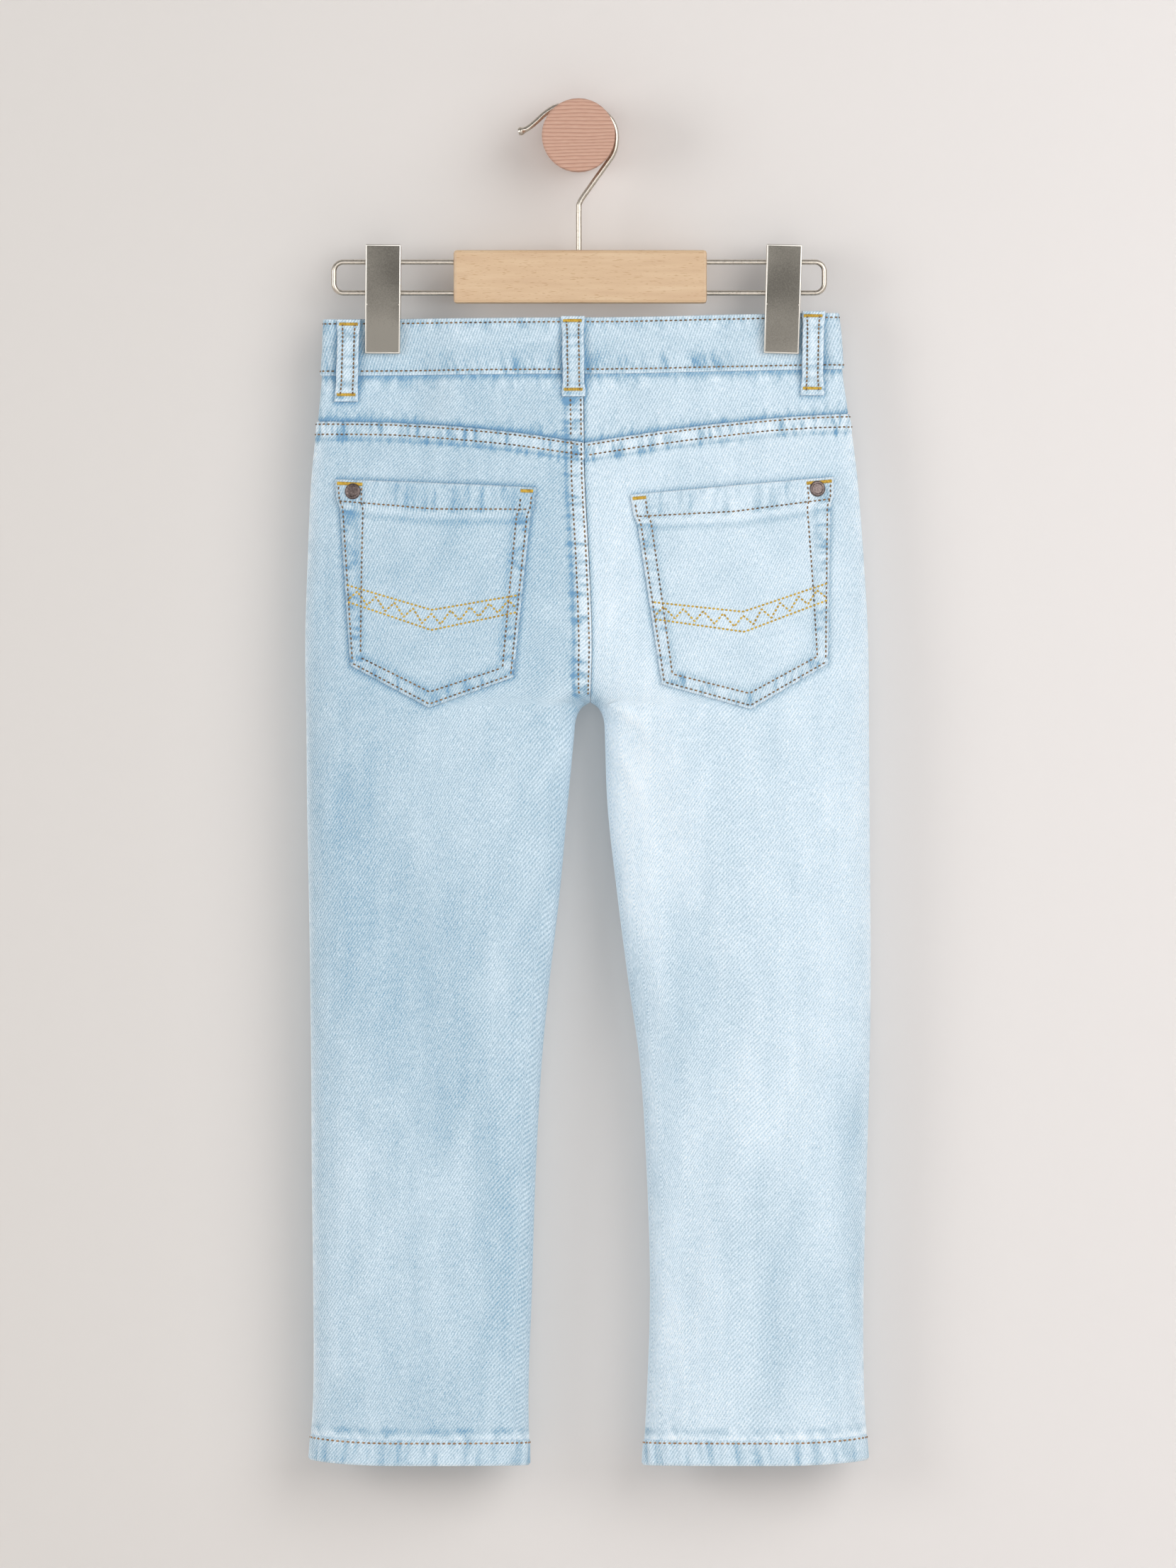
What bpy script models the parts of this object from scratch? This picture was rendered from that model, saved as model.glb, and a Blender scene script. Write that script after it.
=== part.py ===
"""A child's light denim jeans, hung by the waistband from a clip hanger on a turned wall peg.

Lengths in the tables are in millimetres. The origin is the middle of the peg's back face, on the wall.
+Z is up, -Y points away from the wall, out of the seat side, and +X is the right hand of someone looking
at the seat. "left" and "right" in names are that viewer's.
"""

import math
from collections import namedtuple

import bmesh
import bpy
from mathutils import Matrix, Vector

MM = 0.001

# Cloth gauges
PANEL_WALL = 1.2
BAND_OUT = 0.9
BAND_IN = 1.4
HEM_OUT = 0.5
HEM_IN = 2.1
YOKE_SINK = 0.4
SEAM_GAP = 0.3
POCKET_WALL = 1.5
FACING_WALL = 1.1
LOOP_WALL = 1.8

# The plane in which the garment hangs, in front of the wall
HANG_Y = -32.0
# Squareness of the flattened tubes: 2 is an ellipse, more is boxier
ROUNDNESS = 2.35
LEFT, RIGHT = -1, 1
BACK, FRONT = -1, 1
SIDE_NAMES = {LEFT: "left", RIGHT: "right"}

CROTCH_Z = -336.0
CROTCH_X = 7.0
ARCH_DROP = 15.0
ARCH_REACH = 9.0
CROTCH_EASE = 54.0
RISE_EASE = 1.5
BACK_RISE_CURVE = 58.0
FRONT_RISE_CURVE = 40.0
SOLE_Z = -787.0
HEM_HEIGHT = 15.0
HEM_SIDE_LIFT = 3.2
HEM_COLUMNS = 14
HEM_ROWS = 2

Station = namedtuple("Station", "z outer_left outer_right half_depth")
STATIONS = [
    Station(-104, -150.4, 153.6, 8.5),
    Station(-141, -152.0, 156.8, 11.0),
    Station(-172, -155.0, 161.4, 15.0),
    Station(-205, -158.2, 165.4, 19.0),
    Station(-255, -160.4, 169.2, 22.5),
    Station(-300, -161.7, 171.6, 24.0),
    Station(-351, -161.0, 172.0, 24.0),
    Station(-398, -160.6, 172.4, 23.5),
    Station(-448, -159.6, 172.8, 22.5),
    Station(-499, -158.8, 173.0, 21.5),
    Station(-549, -158.2, 172.4, 20.5),
    Station(-616, -157.8, 170.6, 20.0),
    Station(-684, -157.0, 168.8, 19.5),
    Station(-745, -157.0, 169.2, 19.5),
    Station(-790, -159.8, 172.2, 20.0),
]
CentreSeam = namedtuple("CentreSeam", "z x")
CENTRE_SEAM = [
    CentreSeam(-104, 2.8),
    CentreSeam(-172, 3.3),
    CentreSeam(-205, 3.8),
    CentreSeam(-255, 6.5),
    CentreSeam(-300, 8.0),
    CentreSeam(-336, CROTCH_X),
]
Inseam = namedtuple("Inseam", "z left right")
INSEAMS = [
    Inseam(-351, -2.0, 15.4),
    Inseam(-398, -6.4, 17.2),
    Inseam(-448, -10.9, 22.7),
    Inseam(-499, -16.8, 29.2),
    Inseam(-549, -21.6, 36.2),
    Inseam(-616, -25.2, 40.4),
    Inseam(-684, -27.4, 42.2),
    Inseam(-745, -29.4, 40.4),
    Inseam(-790, -28.6, 37.8),
]

# Soft folds: a ridge (height above 0) or trough along a line on one face
Fold = namedtuple("Fold", "face x_top z_top x_low z_low width height")
FOLDS = [
    Fold(BACK, 54, -335, 66, -425, 20, 2.2),
    Fold(BACK, 134, -450, 70, -742, 17, 2.6),
    Fold(BACK, 160, -505, 96, -752, 16, -2.4),
    Fold(BACK, 40, -370, 92, -560, 16, -1.8),
    Fold(BACK, -132, -375, -46, -728, 22, -2.6),
    Fold(BACK, -24, -352, -66, -560, 18, 2.0),
    Fold(BACK, -110, -205, -60, -172, 16, -1.2),
    Fold(BACK, 112, -188, 64, -158, 14, -1.1),
    Fold(FRONT, 48, -340, 92, -470, 18, 2.2),
    Fold(FRONT, 140, -430, 100, -700, 20, -2.4),
    Fold(FRONT, 92, -520, 76, -745, 17, 2.2),
    Fold(FRONT, -40, -345, -96, -470, 18, 2.2),
    Fold(FRONT, -132, -440, -104, -690, 20, -2.4),
    Fold(FRONT, -78, -530, -94, -748, 17, 2.2),
    Fold(FRONT, 6, -300, 70, -250, 14, -1.6),
    Fold(FRONT, 6, -300, -58, -252, 14, -1.6),
]

# Waistband
BAND_TOP_SIDE = {LEFT: -108.4, RIGHT: -104.6}
BAND_TOP_CENTRE = -107.4
BAND_HEIGHT = 33.6
FRONT_DIP = 8.0
BUTTON_LAP = 26.0
BUTTON_FROM_END = 13.5
PANEL_COLUMNS = 13
BAND_COLUMNS = 17
BAND_ROWS = 2
LAP_COLUMNS = 3
LAP_RISE_FROM = 0.86
COLUMN_SPREAD = 1.35
WAIST_GAP = 0.5

# Yoke seam: its height at the side, and its shape towards the centre
YOKE_SIDE = {LEFT: -168.9, RIGHT: -164.5}
YOKE_CENTRE = -181.8
YOKE_CURVE = {LEFT: 2.2, RIGHT: 1.55}
YOKE_ROWS = 4

# Each panel is divided into three nodes at these heights, so that its collision pieces hug the cloth
PANEL_CUTS = (CROTCH_Z, -550.0)
PANEL_PARTS = ("hip", "thigh", "shin")

# Front pocket opening: how far in it starts at the waistband, and how low it meets the side seam
SCOOP_IN = 62.0
SCOOP_LOW = -212.0
FACING_LAP = 14.0
FACING_SINK = 0.7
FACING_ROWS = 9
FACING_COLUMNS = 8

# Clips, belt loops and the wood bar on the hanger
CLIP_X = {LEFT: -115.7, RIGHT: 121.2}
CLIP_TILT = {LEFT: 0.5, RIGHT: 1.7}
CLIP_TOP = -64.4
CLIP_LOW = -129.0
CLIP_WIDTH = 21.0
JAW_HEIGHT = 11.0
SHEET_WALL = 1.2
WIRE_RADIUS = 1.55
WIRE_HIGH_Z = -74.5
WIRE_LOW_Z = -92.8
WIRE_END_X = {LEFT: -144.9, RIGHT: 145.7}
WIRE_CORNER = 5.6
WIRE_SOCKET = 9.0
BAR_LOW_X = -73.9
BAR_HIGH_X = 76.0
BAR_TOP = -67.5
BAR_LOW = -99.0
BAR_DEPTH = 13.0
PINCH_DEPTH = 2.3
PINCH_HEAD = -143.0
PINCH_FOOT = -205.0
PINCH_HALF = 13.5
PINCH_FADE = 34.0

# Peg and hook
PEG_HEAD_RADIUS = 21.7
PEG_NECK_RADIUS = 15.5
PEG_BASE_RADIUS = 20.0
PEG_LENGTH = 54.0
PEG_NECK_Y = (24.0, 39.5)
HOOK_RADIUS = 1.65
HOOK_STEM_X = 0.3
HOOK_SOCKET = 12.0

MATERIALS = {
    "denim": ((0.50, 0.68, 0.83), 0.92, 0.0),
    "denim_dark": ((0.42, 0.60, 0.78), 0.92, 0.0),
    "copper": ((0.16, 0.13, 0.12), 0.42, 1.0),
    "nickel": ((0.47, 0.46, 0.43), 0.36, 1.0),
    "wire": ((0.62, 0.60, 0.56), 0.22, 1.0),
    "beech": ((0.74, 0.55, 0.36), 0.55, 0.0),
    "cedar": ((0.66, 0.43, 0.33), 0.6, 0.0),
}


def clear_scene():
    for obj in list(bpy.data.objects):
        bpy.data.objects.remove(obj, do_unlink=True)


def material(name):
    """The Principled material of that name, made once."""
    found = bpy.data.materials.get(name)
    if found:
        return found
    colour, roughness, metallic = MATERIALS[name]
    made = bpy.data.materials.new(name)
    made.use_nodes = True
    shader = made.node_tree.nodes["Principled BSDF"]
    shader.inputs["Base Color"].default_value = (*colour, 1.0)
    shader.inputs["Roughness"].default_value = roughness
    shader.inputs["Metallic"].default_value = metallic
    made.diffuse_color = (*colour, 1.0)
    return made


def add_object(name, data, finish):
    obj = bpy.data.objects.new(name, data)
    data.materials.append(material(finish))
    bpy.context.scene.collection.objects.link(obj)
    return obj


def mesh_object(name, bm, finish, sharp_degrees=40):
    """A named object from a bmesh in millimetres, shaded smooth with sharp edges kept."""
    bmesh.ops.scale(bm, vec=(MM, MM, MM), verts=bm.verts)
    mesh = bpy.data.meshes.new(name)
    bm.to_mesh(mesh)
    bm.free()
    mesh.shade_smooth()
    mesh.set_sharp_from_angle(angle=math.radians(sharp_degrees))
    return add_object(name, mesh, finish)


# Numbers that vary down the garment


def mix(a, b, share):
    return a + (b - a) * share


def smooth(value):
    """0 to 1 with no slope at either end."""
    value = min(1.0, max(0.0, value))
    return value * value * (3 - 2 * value)


def read_curve(rows, column, z):
    """A column of a table at height z, through a smooth curve."""
    z = min(rows[0].z, max(rows[-1].z, z))
    i = 0
    while i < len(rows) - 2 and z < rows[i + 1].z:
        i += 1
    high, low = rows[i], rows[i + 1]

    def slope(k):
        before = rows[max(0, k - 1)]
        after = rows[min(len(rows) - 1, k + 1)]
        return (getattr(after, column) - getattr(before, column)) / (after.z - before.z)

    span = low.z - high.z
    u = (z - high.z) / span
    start, end = getattr(high, column), getattr(low, column)
    return (
        start * (1 + 2 * u) * (1 - u) ** 2
        + slope(i) * span * u * (1 - u) ** 2
        + end * u * u * (3 - 2 * u)
        - slope(i + 1) * span * u * u * (1 - u)
    )


def outer_x(side, z):
    return read_curve(STATIONS, "outer_left" if side == LEFT else "outer_right", z)


def inner_x(side, z):
    """The centre seam above the crotch, and the inseam below it, which leaves the crotch as an arch."""
    if z > CROTCH_Z:
        return read_curve(CENTRE_SEAM, "x", z)
    foot = read_curve(INSEAMS, SIDE_NAMES[side], z)
    drop = min(1.0, (CROTCH_Z - z) / ARCH_DROP)
    return CROTCH_X + (foot - CROTCH_X) * math.sqrt(1 - (1 - drop) ** 2)


def eased_inner_x(side, z):
    """The same line without the arch's sharp turn, which the wide middle of a panel follows."""
    seam = read_curve(CENTRE_SEAM, "x", z)
    foot = read_curve(INSEAMS, SIDE_NAMES[side], z)
    return mix(seam, foot, smooth((CROTCH_Z + CROTCH_EASE * 0.35 - z) / CROTCH_EASE))


def section(face, side, z):
    """(centre x, half width, end angle) of one panel's arc at height z.

    The arc is a quarter of a flat tube where the centre seam lies on the outer surface, and half of one
    below the crotch. In between, reach says how far past the tube's middle the seam has curved under.
    """
    rise = BACK_RISE_CURVE if face == BACK else FRONT_RISE_CURVE
    below = min(1.0, max(0.0, 1 - (z - CROTCH_Z) / rise))
    reach = below**RISE_EASE
    outer, inner = outer_x(side, z), eased_inner_x(side, z)
    half_width = abs(outer - inner) / (1 + reach)
    centre = inner + (outer - inner) * reach / (1 + reach)
    end_angle = math.acos(-(reach ** (ROUNDNESS / 2)))
    return centre, half_width, end_angle


def column_angle(end_angle, t):
    """The arc's angle at t: evenly across a wide flat quarter, and evenly round a leg's half tube."""
    quarter = math.pi / 2
    across = math.acos((1 - t**COLUMN_SPREAD) ** (ROUNDNESS / 2)) / quarter
    return end_angle * mix(across, t, end_angle / quarter - 1)


def clip_pinch(x, z):
    """1 where a clip presses the waistband, falling to 0 beside and below it."""
    fade_down = 1 - smooth((PINCH_HEAD - z) / (PINCH_HEAD - PINCH_FOOT))
    nearest = min(abs(x - CLIP_X[LEFT]), abs(x - CLIP_X[RIGHT]))
    return fade_down * (1 - smooth((nearest - PINCH_HALF) / PINCH_FADE))


def fold_height(face, x, z):
    """The folds' rise at a point of one face, in millimetres."""
    total = 0.0
    for fold in FOLDS:
        if fold.face != face:
            continue
        dx, dz = fold.x_low - fold.x_top, fold.z_low - fold.z_top
        along = ((x - fold.x_top) * dx + (z - fold.z_top) * dz) / (dx * dx + dz * dz)
        held = min(1.0, max(0.0, along))
        away_x = x - fold.x_top - held * dx
        away_z = z - fold.z_top - held * dz
        taper = smooth(min(held, 1 - held) / 0.3)
        spread = (away_x * away_x + away_z * away_z) / (fold.width * fold.width)
        total += fold.height * (0.25 + 0.75 * taper) * math.exp(-spread)
    return total


def front_dip(face, part):
    """How much lower the front waistband hangs, part being 0 at the side seam and 1 at the centre."""
    return FRONT_DIP * smooth(part) if face == FRONT else 0.0


def half_depth(face, x, z, bulge):
    """The cloth's outer surface, out from the hanging plane. bulge is the section's own 0 to 1."""
    depth = read_curve(STATIONS, "half_depth", z) * bulge
    pinch = clip_pinch(x, z)
    if pinch > 0:
        depth = depth + (min(depth, PINCH_DEPTH) - depth) * pinch
    fade = smooth(bulge * 1.3 - 0.2) * (1 - pinch)
    return depth + fold_height(face, x, z) * fade


def surface(face, side, z, t, gap=SEAM_GAP):
    """A point of the outer cloth: t is 0 at the side seam and 1 at the centre seam or inseam."""
    centre, half_width, end_angle = section(face, side, z)
    angle = column_angle(end_angle, t)
    cosine, sine = math.cos(angle), max(0.0, math.sin(angle))
    across = math.copysign(abs(cosine) ** (2 / ROUNDNESS), cosine)
    x = centre + side * half_width * across
    near_inner = math.exp(-abs(x - eased_inner_x(side, z)) / ARCH_REACH)
    y = half_depth(face, x, z, sine ** (2 / ROUNDNESS))
    x += (inner_x(side, z) - eased_inner_x(side, z)) * near_inner
    return Vector((x + side * gap / 2, HANG_Y + face * (y + gap / 2), z))


def surface_normal(face, side, z, t):
    """The outward normal there, from small steps both ways."""
    step_t, step_z = 0.002, 0.3
    t_low, t_high = max(0.0, t - step_t), min(1.0, t + step_t)
    along = surface(face, side, z, t_high) - surface(face, side, z, t_low)
    down = surface(face, side, z - step_z, t) - surface(face, side, z + step_z, t)
    normal = along.cross(down) * (-side * face)
    if t == 0.0:
        normal.y = 0.0
    return normal.normalized()


def moved_out(face, side, z, t, distance, gap=SEAM_GAP):
    return surface(face, side, z, t, gap) + surface_normal(face, side, z, t) * distance


def side_of(x, z):
    """Which half of the garment a point lies on."""
    return LEFT if x < inner_x(LEFT, z) or (z < CROTCH_Z and x < CROTCH_X) else RIGHT


def on_face(face, x, z, distance=0.0):
    """A point over a face at x and z, moved out along the cloth's normal."""

    def depth(px, pz):
        side = side_of(px, pz)
        centre, half_width, _ = section(face, side, pz)
        share = min(1.0, abs(px - centre) / half_width)
        bulge = (1 - share**ROUNDNESS) ** (1 / ROUNDNESS)
        return half_depth(face, px, pz, bulge)

    step = 0.5
    slope_x = (depth(x + step, z) - depth(x - step, z)) / (2 * step)
    slope_z = (depth(x, z + step) - depth(x, z - step)) / (2 * step)
    normal = Vector((-slope_x, face, -slope_z)).normalized()
    point = Vector((x, HANG_Y + face * (depth(x, z) + SEAM_GAP / 2), z))
    return point + normal * distance


# Walls


def wall(name, outer, inner, finish, closed=False):
    """A cloth wall between two equal grids of points, outer and inner, with its rim closed."""
    bm = bmesh.new()
    grids = []
    for grid in (outer, inner):
        rows = [[bm.verts.new(point) for point in row] for row in grid]
        count = len(rows[0])
        for above, below in zip(rows, rows[1:]):
            for j in range(count if closed else count - 1):
                k = (j + 1) % count
                bm.faces.new((above[j], above[k], below[k], below[j]))
        grids.append(rows)
    rim = [edge for edge in bm.edges if edge.is_boundary]
    if closed:
        for row in (0, -1):
            ends = {vert for rows in grids for vert in rows[row]}
            bmesh.ops.bridge_loops(bm, edges=[e for e in rim if set(e.verts) <= ends])
    else:
        bmesh.ops.bridge_loops(bm, edges=rim)
    bmesh.ops.recalc_face_normals(bm, faces=bm.faces)
    return mesh_object(name, bm, finish)


def panel_levels(top, low):
    """Heights of a panel's rows, closer together under the clips and at the crotch."""
    levels = [top]
    while True:
        widest = 12.0 if levels[-1] > PINCH_FOOT else 33.0
        step = min(widest, max(3.0, abs(levels[-1] - CROTCH_Z) * 0.45))
        if levels[-1] > CROTCH_Z > levels[-1] - step:
            levels.append(CROTCH_Z)
            continue
        if levels[-1] - step * 1.5 < low:
            break
        levels.append(levels[-1] - step)
    return levels + [low]


def panel(name, face, side, top_edge, low_edge, first_t):
    """One leg panel from its top edge to the hem seam, in three lengths. first_t trims its side edge."""
    top, low = top_edge(1.0), low_edge(1.0)
    starts = [top, *(cut - SEAM_GAP / 2 for cut in PANEL_CUTS)]
    ends = [*(cut + SEAM_GAP / 2 for cut in PANEL_CUTS), low]
    for part_name, start, end in zip(PANEL_PARTS, starts, ends):
        outer, inner = panel_rows(face, side, top_edge, low_edge, first_t, panel_levels(start, end))
        wall(f"{name}_{part_name}", outer, inner, "denim")


def panel_rows(face, side, top_edge, low_edge, first_t, levels):
    """The outer and inner points of a panel's rows at the given heights."""
    top, low = top_edge(1.0), low_edge(1.0)
    outer, inner = [], []
    for level in levels:
        near_top = 1 - smooth((top - level) / 90)
        near_low = 1 - smooth((level - low) / 60)
        row_outer, row_inner = [], []
        for j in range(PANEL_COLUMNS + 1):
            part = j / PANEL_COLUMNS
            z = level + (top_edge(part) - top) * near_top + (low_edge(part) - low) * near_low
            start = first_t(z)
            t = start + (1 - start) * part
            row_outer.append(moved_out(face, side, z, t, 0.0))
            row_inner.append(moved_out(face, side, z, t, -PANEL_WALL))
        outer.append(row_outer)
        inner.append(row_inner)
    return outer, inner


def hem_edge(part):
    """The height of the leg's bottom edge, part being 0 at the side seam and 1 at the inseam."""
    return SOLE_Z + HEM_SIDE_LIFT * (1 - smooth(part / 0.45))


def hem_seam(part):
    return hem_edge(part) + HEM_HEIGHT + SEAM_GAP


def band_top(face, side, part):
    """The waistband's top edge, part being 0 at the side seam and 1 at the centre."""
    side_z = BAND_TOP_SIDE[side]
    return side_z + (BAND_TOP_CENTRE - side_z) * smooth(part) - front_dip(face, part)


def band_low(face, side, part):
    return band_top(face, side, part) - BAND_HEIGHT


def yoke_seam(side, part):
    return YOKE_SIDE[side] + (YOKE_CENTRE - YOKE_SIDE[side]) * part ** YOKE_CURVE[side]


def across_part(face, side, z, t):
    """How far x has gone from the side seam to the centre, for a point at t."""
    x = surface(face, side, z, t, gap=0).x
    outer, inner = outer_x(side, z), inner_x(side, z)
    return min(1.0, max(0.0, (outer - x) / (outer - inner)))


def scoop_start(side, z):
    """The front pocket opening: where a front panel begins at height z, as t."""
    top = band_low(FRONT, side, 0.0)
    if z <= SCOOP_LOW:
        return 0.0
    rise = min(1.0, (z - SCOOP_LOW) / (top - SCOOP_LOW))
    inward = SCOOP_IN * (1 - math.sqrt(1 - rise**1.7)) ** 0.8
    centre, half_width, end_angle = section(FRONT, side, z)
    return min(1.0, inward / half_width) ** (1 / COLUMN_SPREAD)


def back_panel(side):
    def top_edge(part):
        t = part
        return yoke_seam(side, across_part(BACK, side, YOKE_CENTRE, t)) - SEAM_GAP / 2

    panel(f"back_{SIDE_NAMES[side]}", BACK, side, top_edge, hem_seam, lambda z: 0.0)


def front_panel(side):
    def top_edge(part):
        start = scoop_start(side, band_low(FRONT, side, 0.5))
        t = start + (1 - start) * part
        across = across_part(FRONT, side, band_low(FRONT, side, 0.5), t)
        return band_low(FRONT, side, across) - WAIST_GAP

    panel(f"front_{SIDE_NAMES[side]}", FRONT, side, top_edge, hem_seam, lambda z: scoop_start(side, z))


def yoke(side):
    """The shaped piece between the waistband and the back panel."""
    outer, inner = [], []
    for i in range(YOKE_ROWS + 1):
        row_outer, row_inner = [], []
        for j in range(PANEL_COLUMNS + 1):
            t = j / PANEL_COLUMNS
            part = across_part(BACK, side, YOKE_CENTRE, t)
            high = band_low(BACK, side, part) - WAIST_GAP
            low = yoke_seam(side, part) + SEAM_GAP / 2
            z = mix(high, low, i / YOKE_ROWS)
            row_outer.append(moved_out(BACK, side, z, t, -YOKE_SINK))
            row_inner.append(moved_out(BACK, side, z, t, -YOKE_SINK - PANEL_WALL))
        outer.append(row_outer)
        inner.append(row_inner)
    return wall(f"yoke_{SIDE_NAMES[side]}", outer, inner, "denim_dark")


def pocket_facing(side):
    """The cloth that shows inside a front pocket's opening, under the front panel."""
    sink = PANEL_WALL + FACING_SINK
    outer, inner = [], []
    for i in range(FACING_ROWS + 1):
        row_outer, row_inner = [], []
        for j in range(FACING_COLUMNS + 1):
            part = j / FACING_COLUMNS
            across = part * (SCOOP_IN + FACING_LAP) / abs(outer_x(side, SCOOP_LOW))
            high = band_low(FRONT, side, across) - WAIST_GAP
            z = mix(high, SCOOP_LOW - FACING_LAP, i / FACING_ROWS)
            last = scoop_start(side, z) + FACING_LAP / abs(outer_x(side, z))
            t = last * part
            row_outer.append(moved_out(FRONT, side, z, t, -sink))
            row_inner.append(moved_out(FRONT, side, z, t, -sink - FACING_WALL))
        outer.append(row_outer)
        inner.append(row_inner)
    return wall(f"pocket_facing_{SIDE_NAMES[side]}", outer, inner, "denim_dark")


def band_stations(side):
    """(face, t, lift) round half the waistband, from the centre back. lift raises the button lap's end."""
    quarter = [j / BAND_COLUMNS for j in range(BAND_COLUMNS + 1)]
    stops = [(BACK, t, 0.0) for t in reversed(quarter)]
    for t in quarter[1:]:
        lap = smooth((t - LAP_RISE_FROM) / 0.13) if side == LEFT else 0.0
        stops.append((FRONT, t, lap))
    return stops


def waistband(side):
    """Half the band, from under the centre back loop. The left half's end laps over the right's in front."""
    lap_lift = BAND_OUT + BAND_IN + SEAM_GAP
    outer, inner = [], []
    for i in range(BAND_ROWS + 1):
        row_outer, row_inner = [], []
        for face, t, lift in band_stations(side):
            drop = BAND_HEIGHT * i / BAND_ROWS
            part = across_part(face, side, BAND_TOP_CENTRE - drop, t)
            z = band_top(face, side, part) - drop
            out = BAND_OUT + lap_lift * lift
            back = -BAND_IN + lap_lift * lift
            gap = SEAM_GAP if face == BACK and t == 1.0 else 0.0
            row_outer.append(moved_out(face, side, z, t, out, gap))
            row_inner.append(moved_out(face, side, z, t, back, gap))
        for step in range(1, LAP_COLUMNS + 1 if side == LEFT else 1):
            x = inner_x(RIGHT, BAND_TOP_CENTRE) + BUTTON_LAP * step / LAP_COLUMNS
            z = BAND_TOP_CENTRE - FRONT_DIP - BAND_HEIGHT * i / BAND_ROWS
            row_outer.append(on_face(FRONT, x, z, BAND_OUT + lap_lift))
            row_inner.append(on_face(FRONT, x, z, -BAND_IN + lap_lift))
        outer.append(row_outer)
        inner.append(row_inner)
    return wall(f"waistband_{SIDE_NAMES[side]}", outer, inner, "denim")


def hem(side):
    """The turned-up hem round one leg, thicker than the panels above it."""
    stops = [(BACK, j / HEM_COLUMNS) for j in range(HEM_COLUMNS + 1)]
    stops += [(FRONT, j / HEM_COLUMNS) for j in range(HEM_COLUMNS - 1, 0, -1)]
    outer, inner = [], []
    for i in range(HEM_ROWS + 1):
        row_outer, row_inner = [], []
        for face, t in stops:
            z = hem_edge(t) + HEM_HEIGHT * (1 - i / HEM_ROWS)
            row_outer.append(moved_out(face, side, z, t, HEM_OUT, gap=0))
            row_inner.append(moved_out(face, side, z, t, -HEM_IN, gap=0))
        outer.append(row_outer)
        inner.append(row_inner)
    return wall(f"hem_{SIDE_NAMES[side]}", outer, inner, "denim", closed=True)


# Back pockets: five corners each, in millimetres across and up
PocketShape = namedtuple("PocketShape", "outer_top inner_top inner_low tip outer_low")
POCKETS = {
    LEFT: PocketShape((-142.2, -203.4), (-26.6, -208.4), (-38.4, -320.6), (-88.2, -338.8), (-134.8, -313.6)),
    RIGHT: PocketShape((149.2, -202.0), (32.2, -212.8), (49.2, -324.8), (101.8, -339.6), (147.4, -312.8)),
}
POCKET_HEM_SHARE = 0.13
POCKET_HEM_FLARE = 1.6
POCKET_FULLNESS = 1.5
POCKET_COLUMNS = 10
POCKET_ROWS = 10


def pocket_point(side, across, down):
    """(x, z) on a back pocket: across is 0 at its outer edge, down is 0 at its mouth."""
    shape = POCKETS[side]
    top = [mix(shape.outer_top[k], shape.inner_top[k], across) for k in (0, 1)]
    if across < 0.5:
        low = [mix(shape.outer_low[k], shape.tip[k], across * 2) for k in (0, 1)]
    else:
        low = [mix(shape.tip[k], shape.inner_low[k], across * 2 - 1) for k in (0, 1)]
    x, z = mix(top[0], low[0], down), mix(top[1], low[1], down)
    flare = POCKET_HEM_FLARE * smooth((POCKET_HEM_SHARE + 0.03 - down) / 0.06) * (across * 2 - 1)
    return x - side * flare, z


def pocket_base(across, down):
    """How far the pocket's own cloth stands off the panel: a little fuller in its upper middle."""
    return SEAM_GAP + POCKET_FULLNESS * math.sin(math.pi * across) ** 0.7 * (1 - down) ** 0.8


def back_pocket(side):
    """A five-sided patch pocket laid on the back panel."""
    outer, inner = [], []
    for i in range(POCKET_ROWS + 1):
        row_outer, row_inner = [], []
        for j in range(POCKET_COLUMNS + 1):
            across, down = j / POCKET_COLUMNS, i / POCKET_ROWS
            x, z = pocket_point(side, across, down)
            base = pocket_base(across, down)
            row_outer.append(on_face(BACK, x, z, base + POCKET_WALL))
            row_inner.append(on_face(BACK, x, z, base))
        outer.append(row_outer)
        inner.append(row_inner)
    return wall(f"back_pocket_{SIDE_NAMES[side]}", outer, inner, "denim")


# Belt loops: face, x at the top and bottom, top and bottom heights
Loop = namedtuple("Loop", "name face x_top x_low z_top z_low")
LOOPS = [
    Loop("belt_loop_back_left", BACK, -136.0, -137.6, -108.6, -157.4),
    Loop("belt_loop_back_centre", BACK, -3.4, -2.8, -106.8, -154.6),
    Loop("belt_loop_back_right", BACK, 139.2, 138.6, -103.6, -153.6),
    Loop("belt_loop_front_left", FRONT, -78.0, -79.0, -114.0, -160.0),
    Loop("belt_loop_front_right", FRONT, 82.0, 83.0, -112.6, -158.6),
]
LOOP_WIDTH = 12.8
LOOP_END = 6.0
LOOP_STAND = 2.4
LOOP_ROWS = 12


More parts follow.
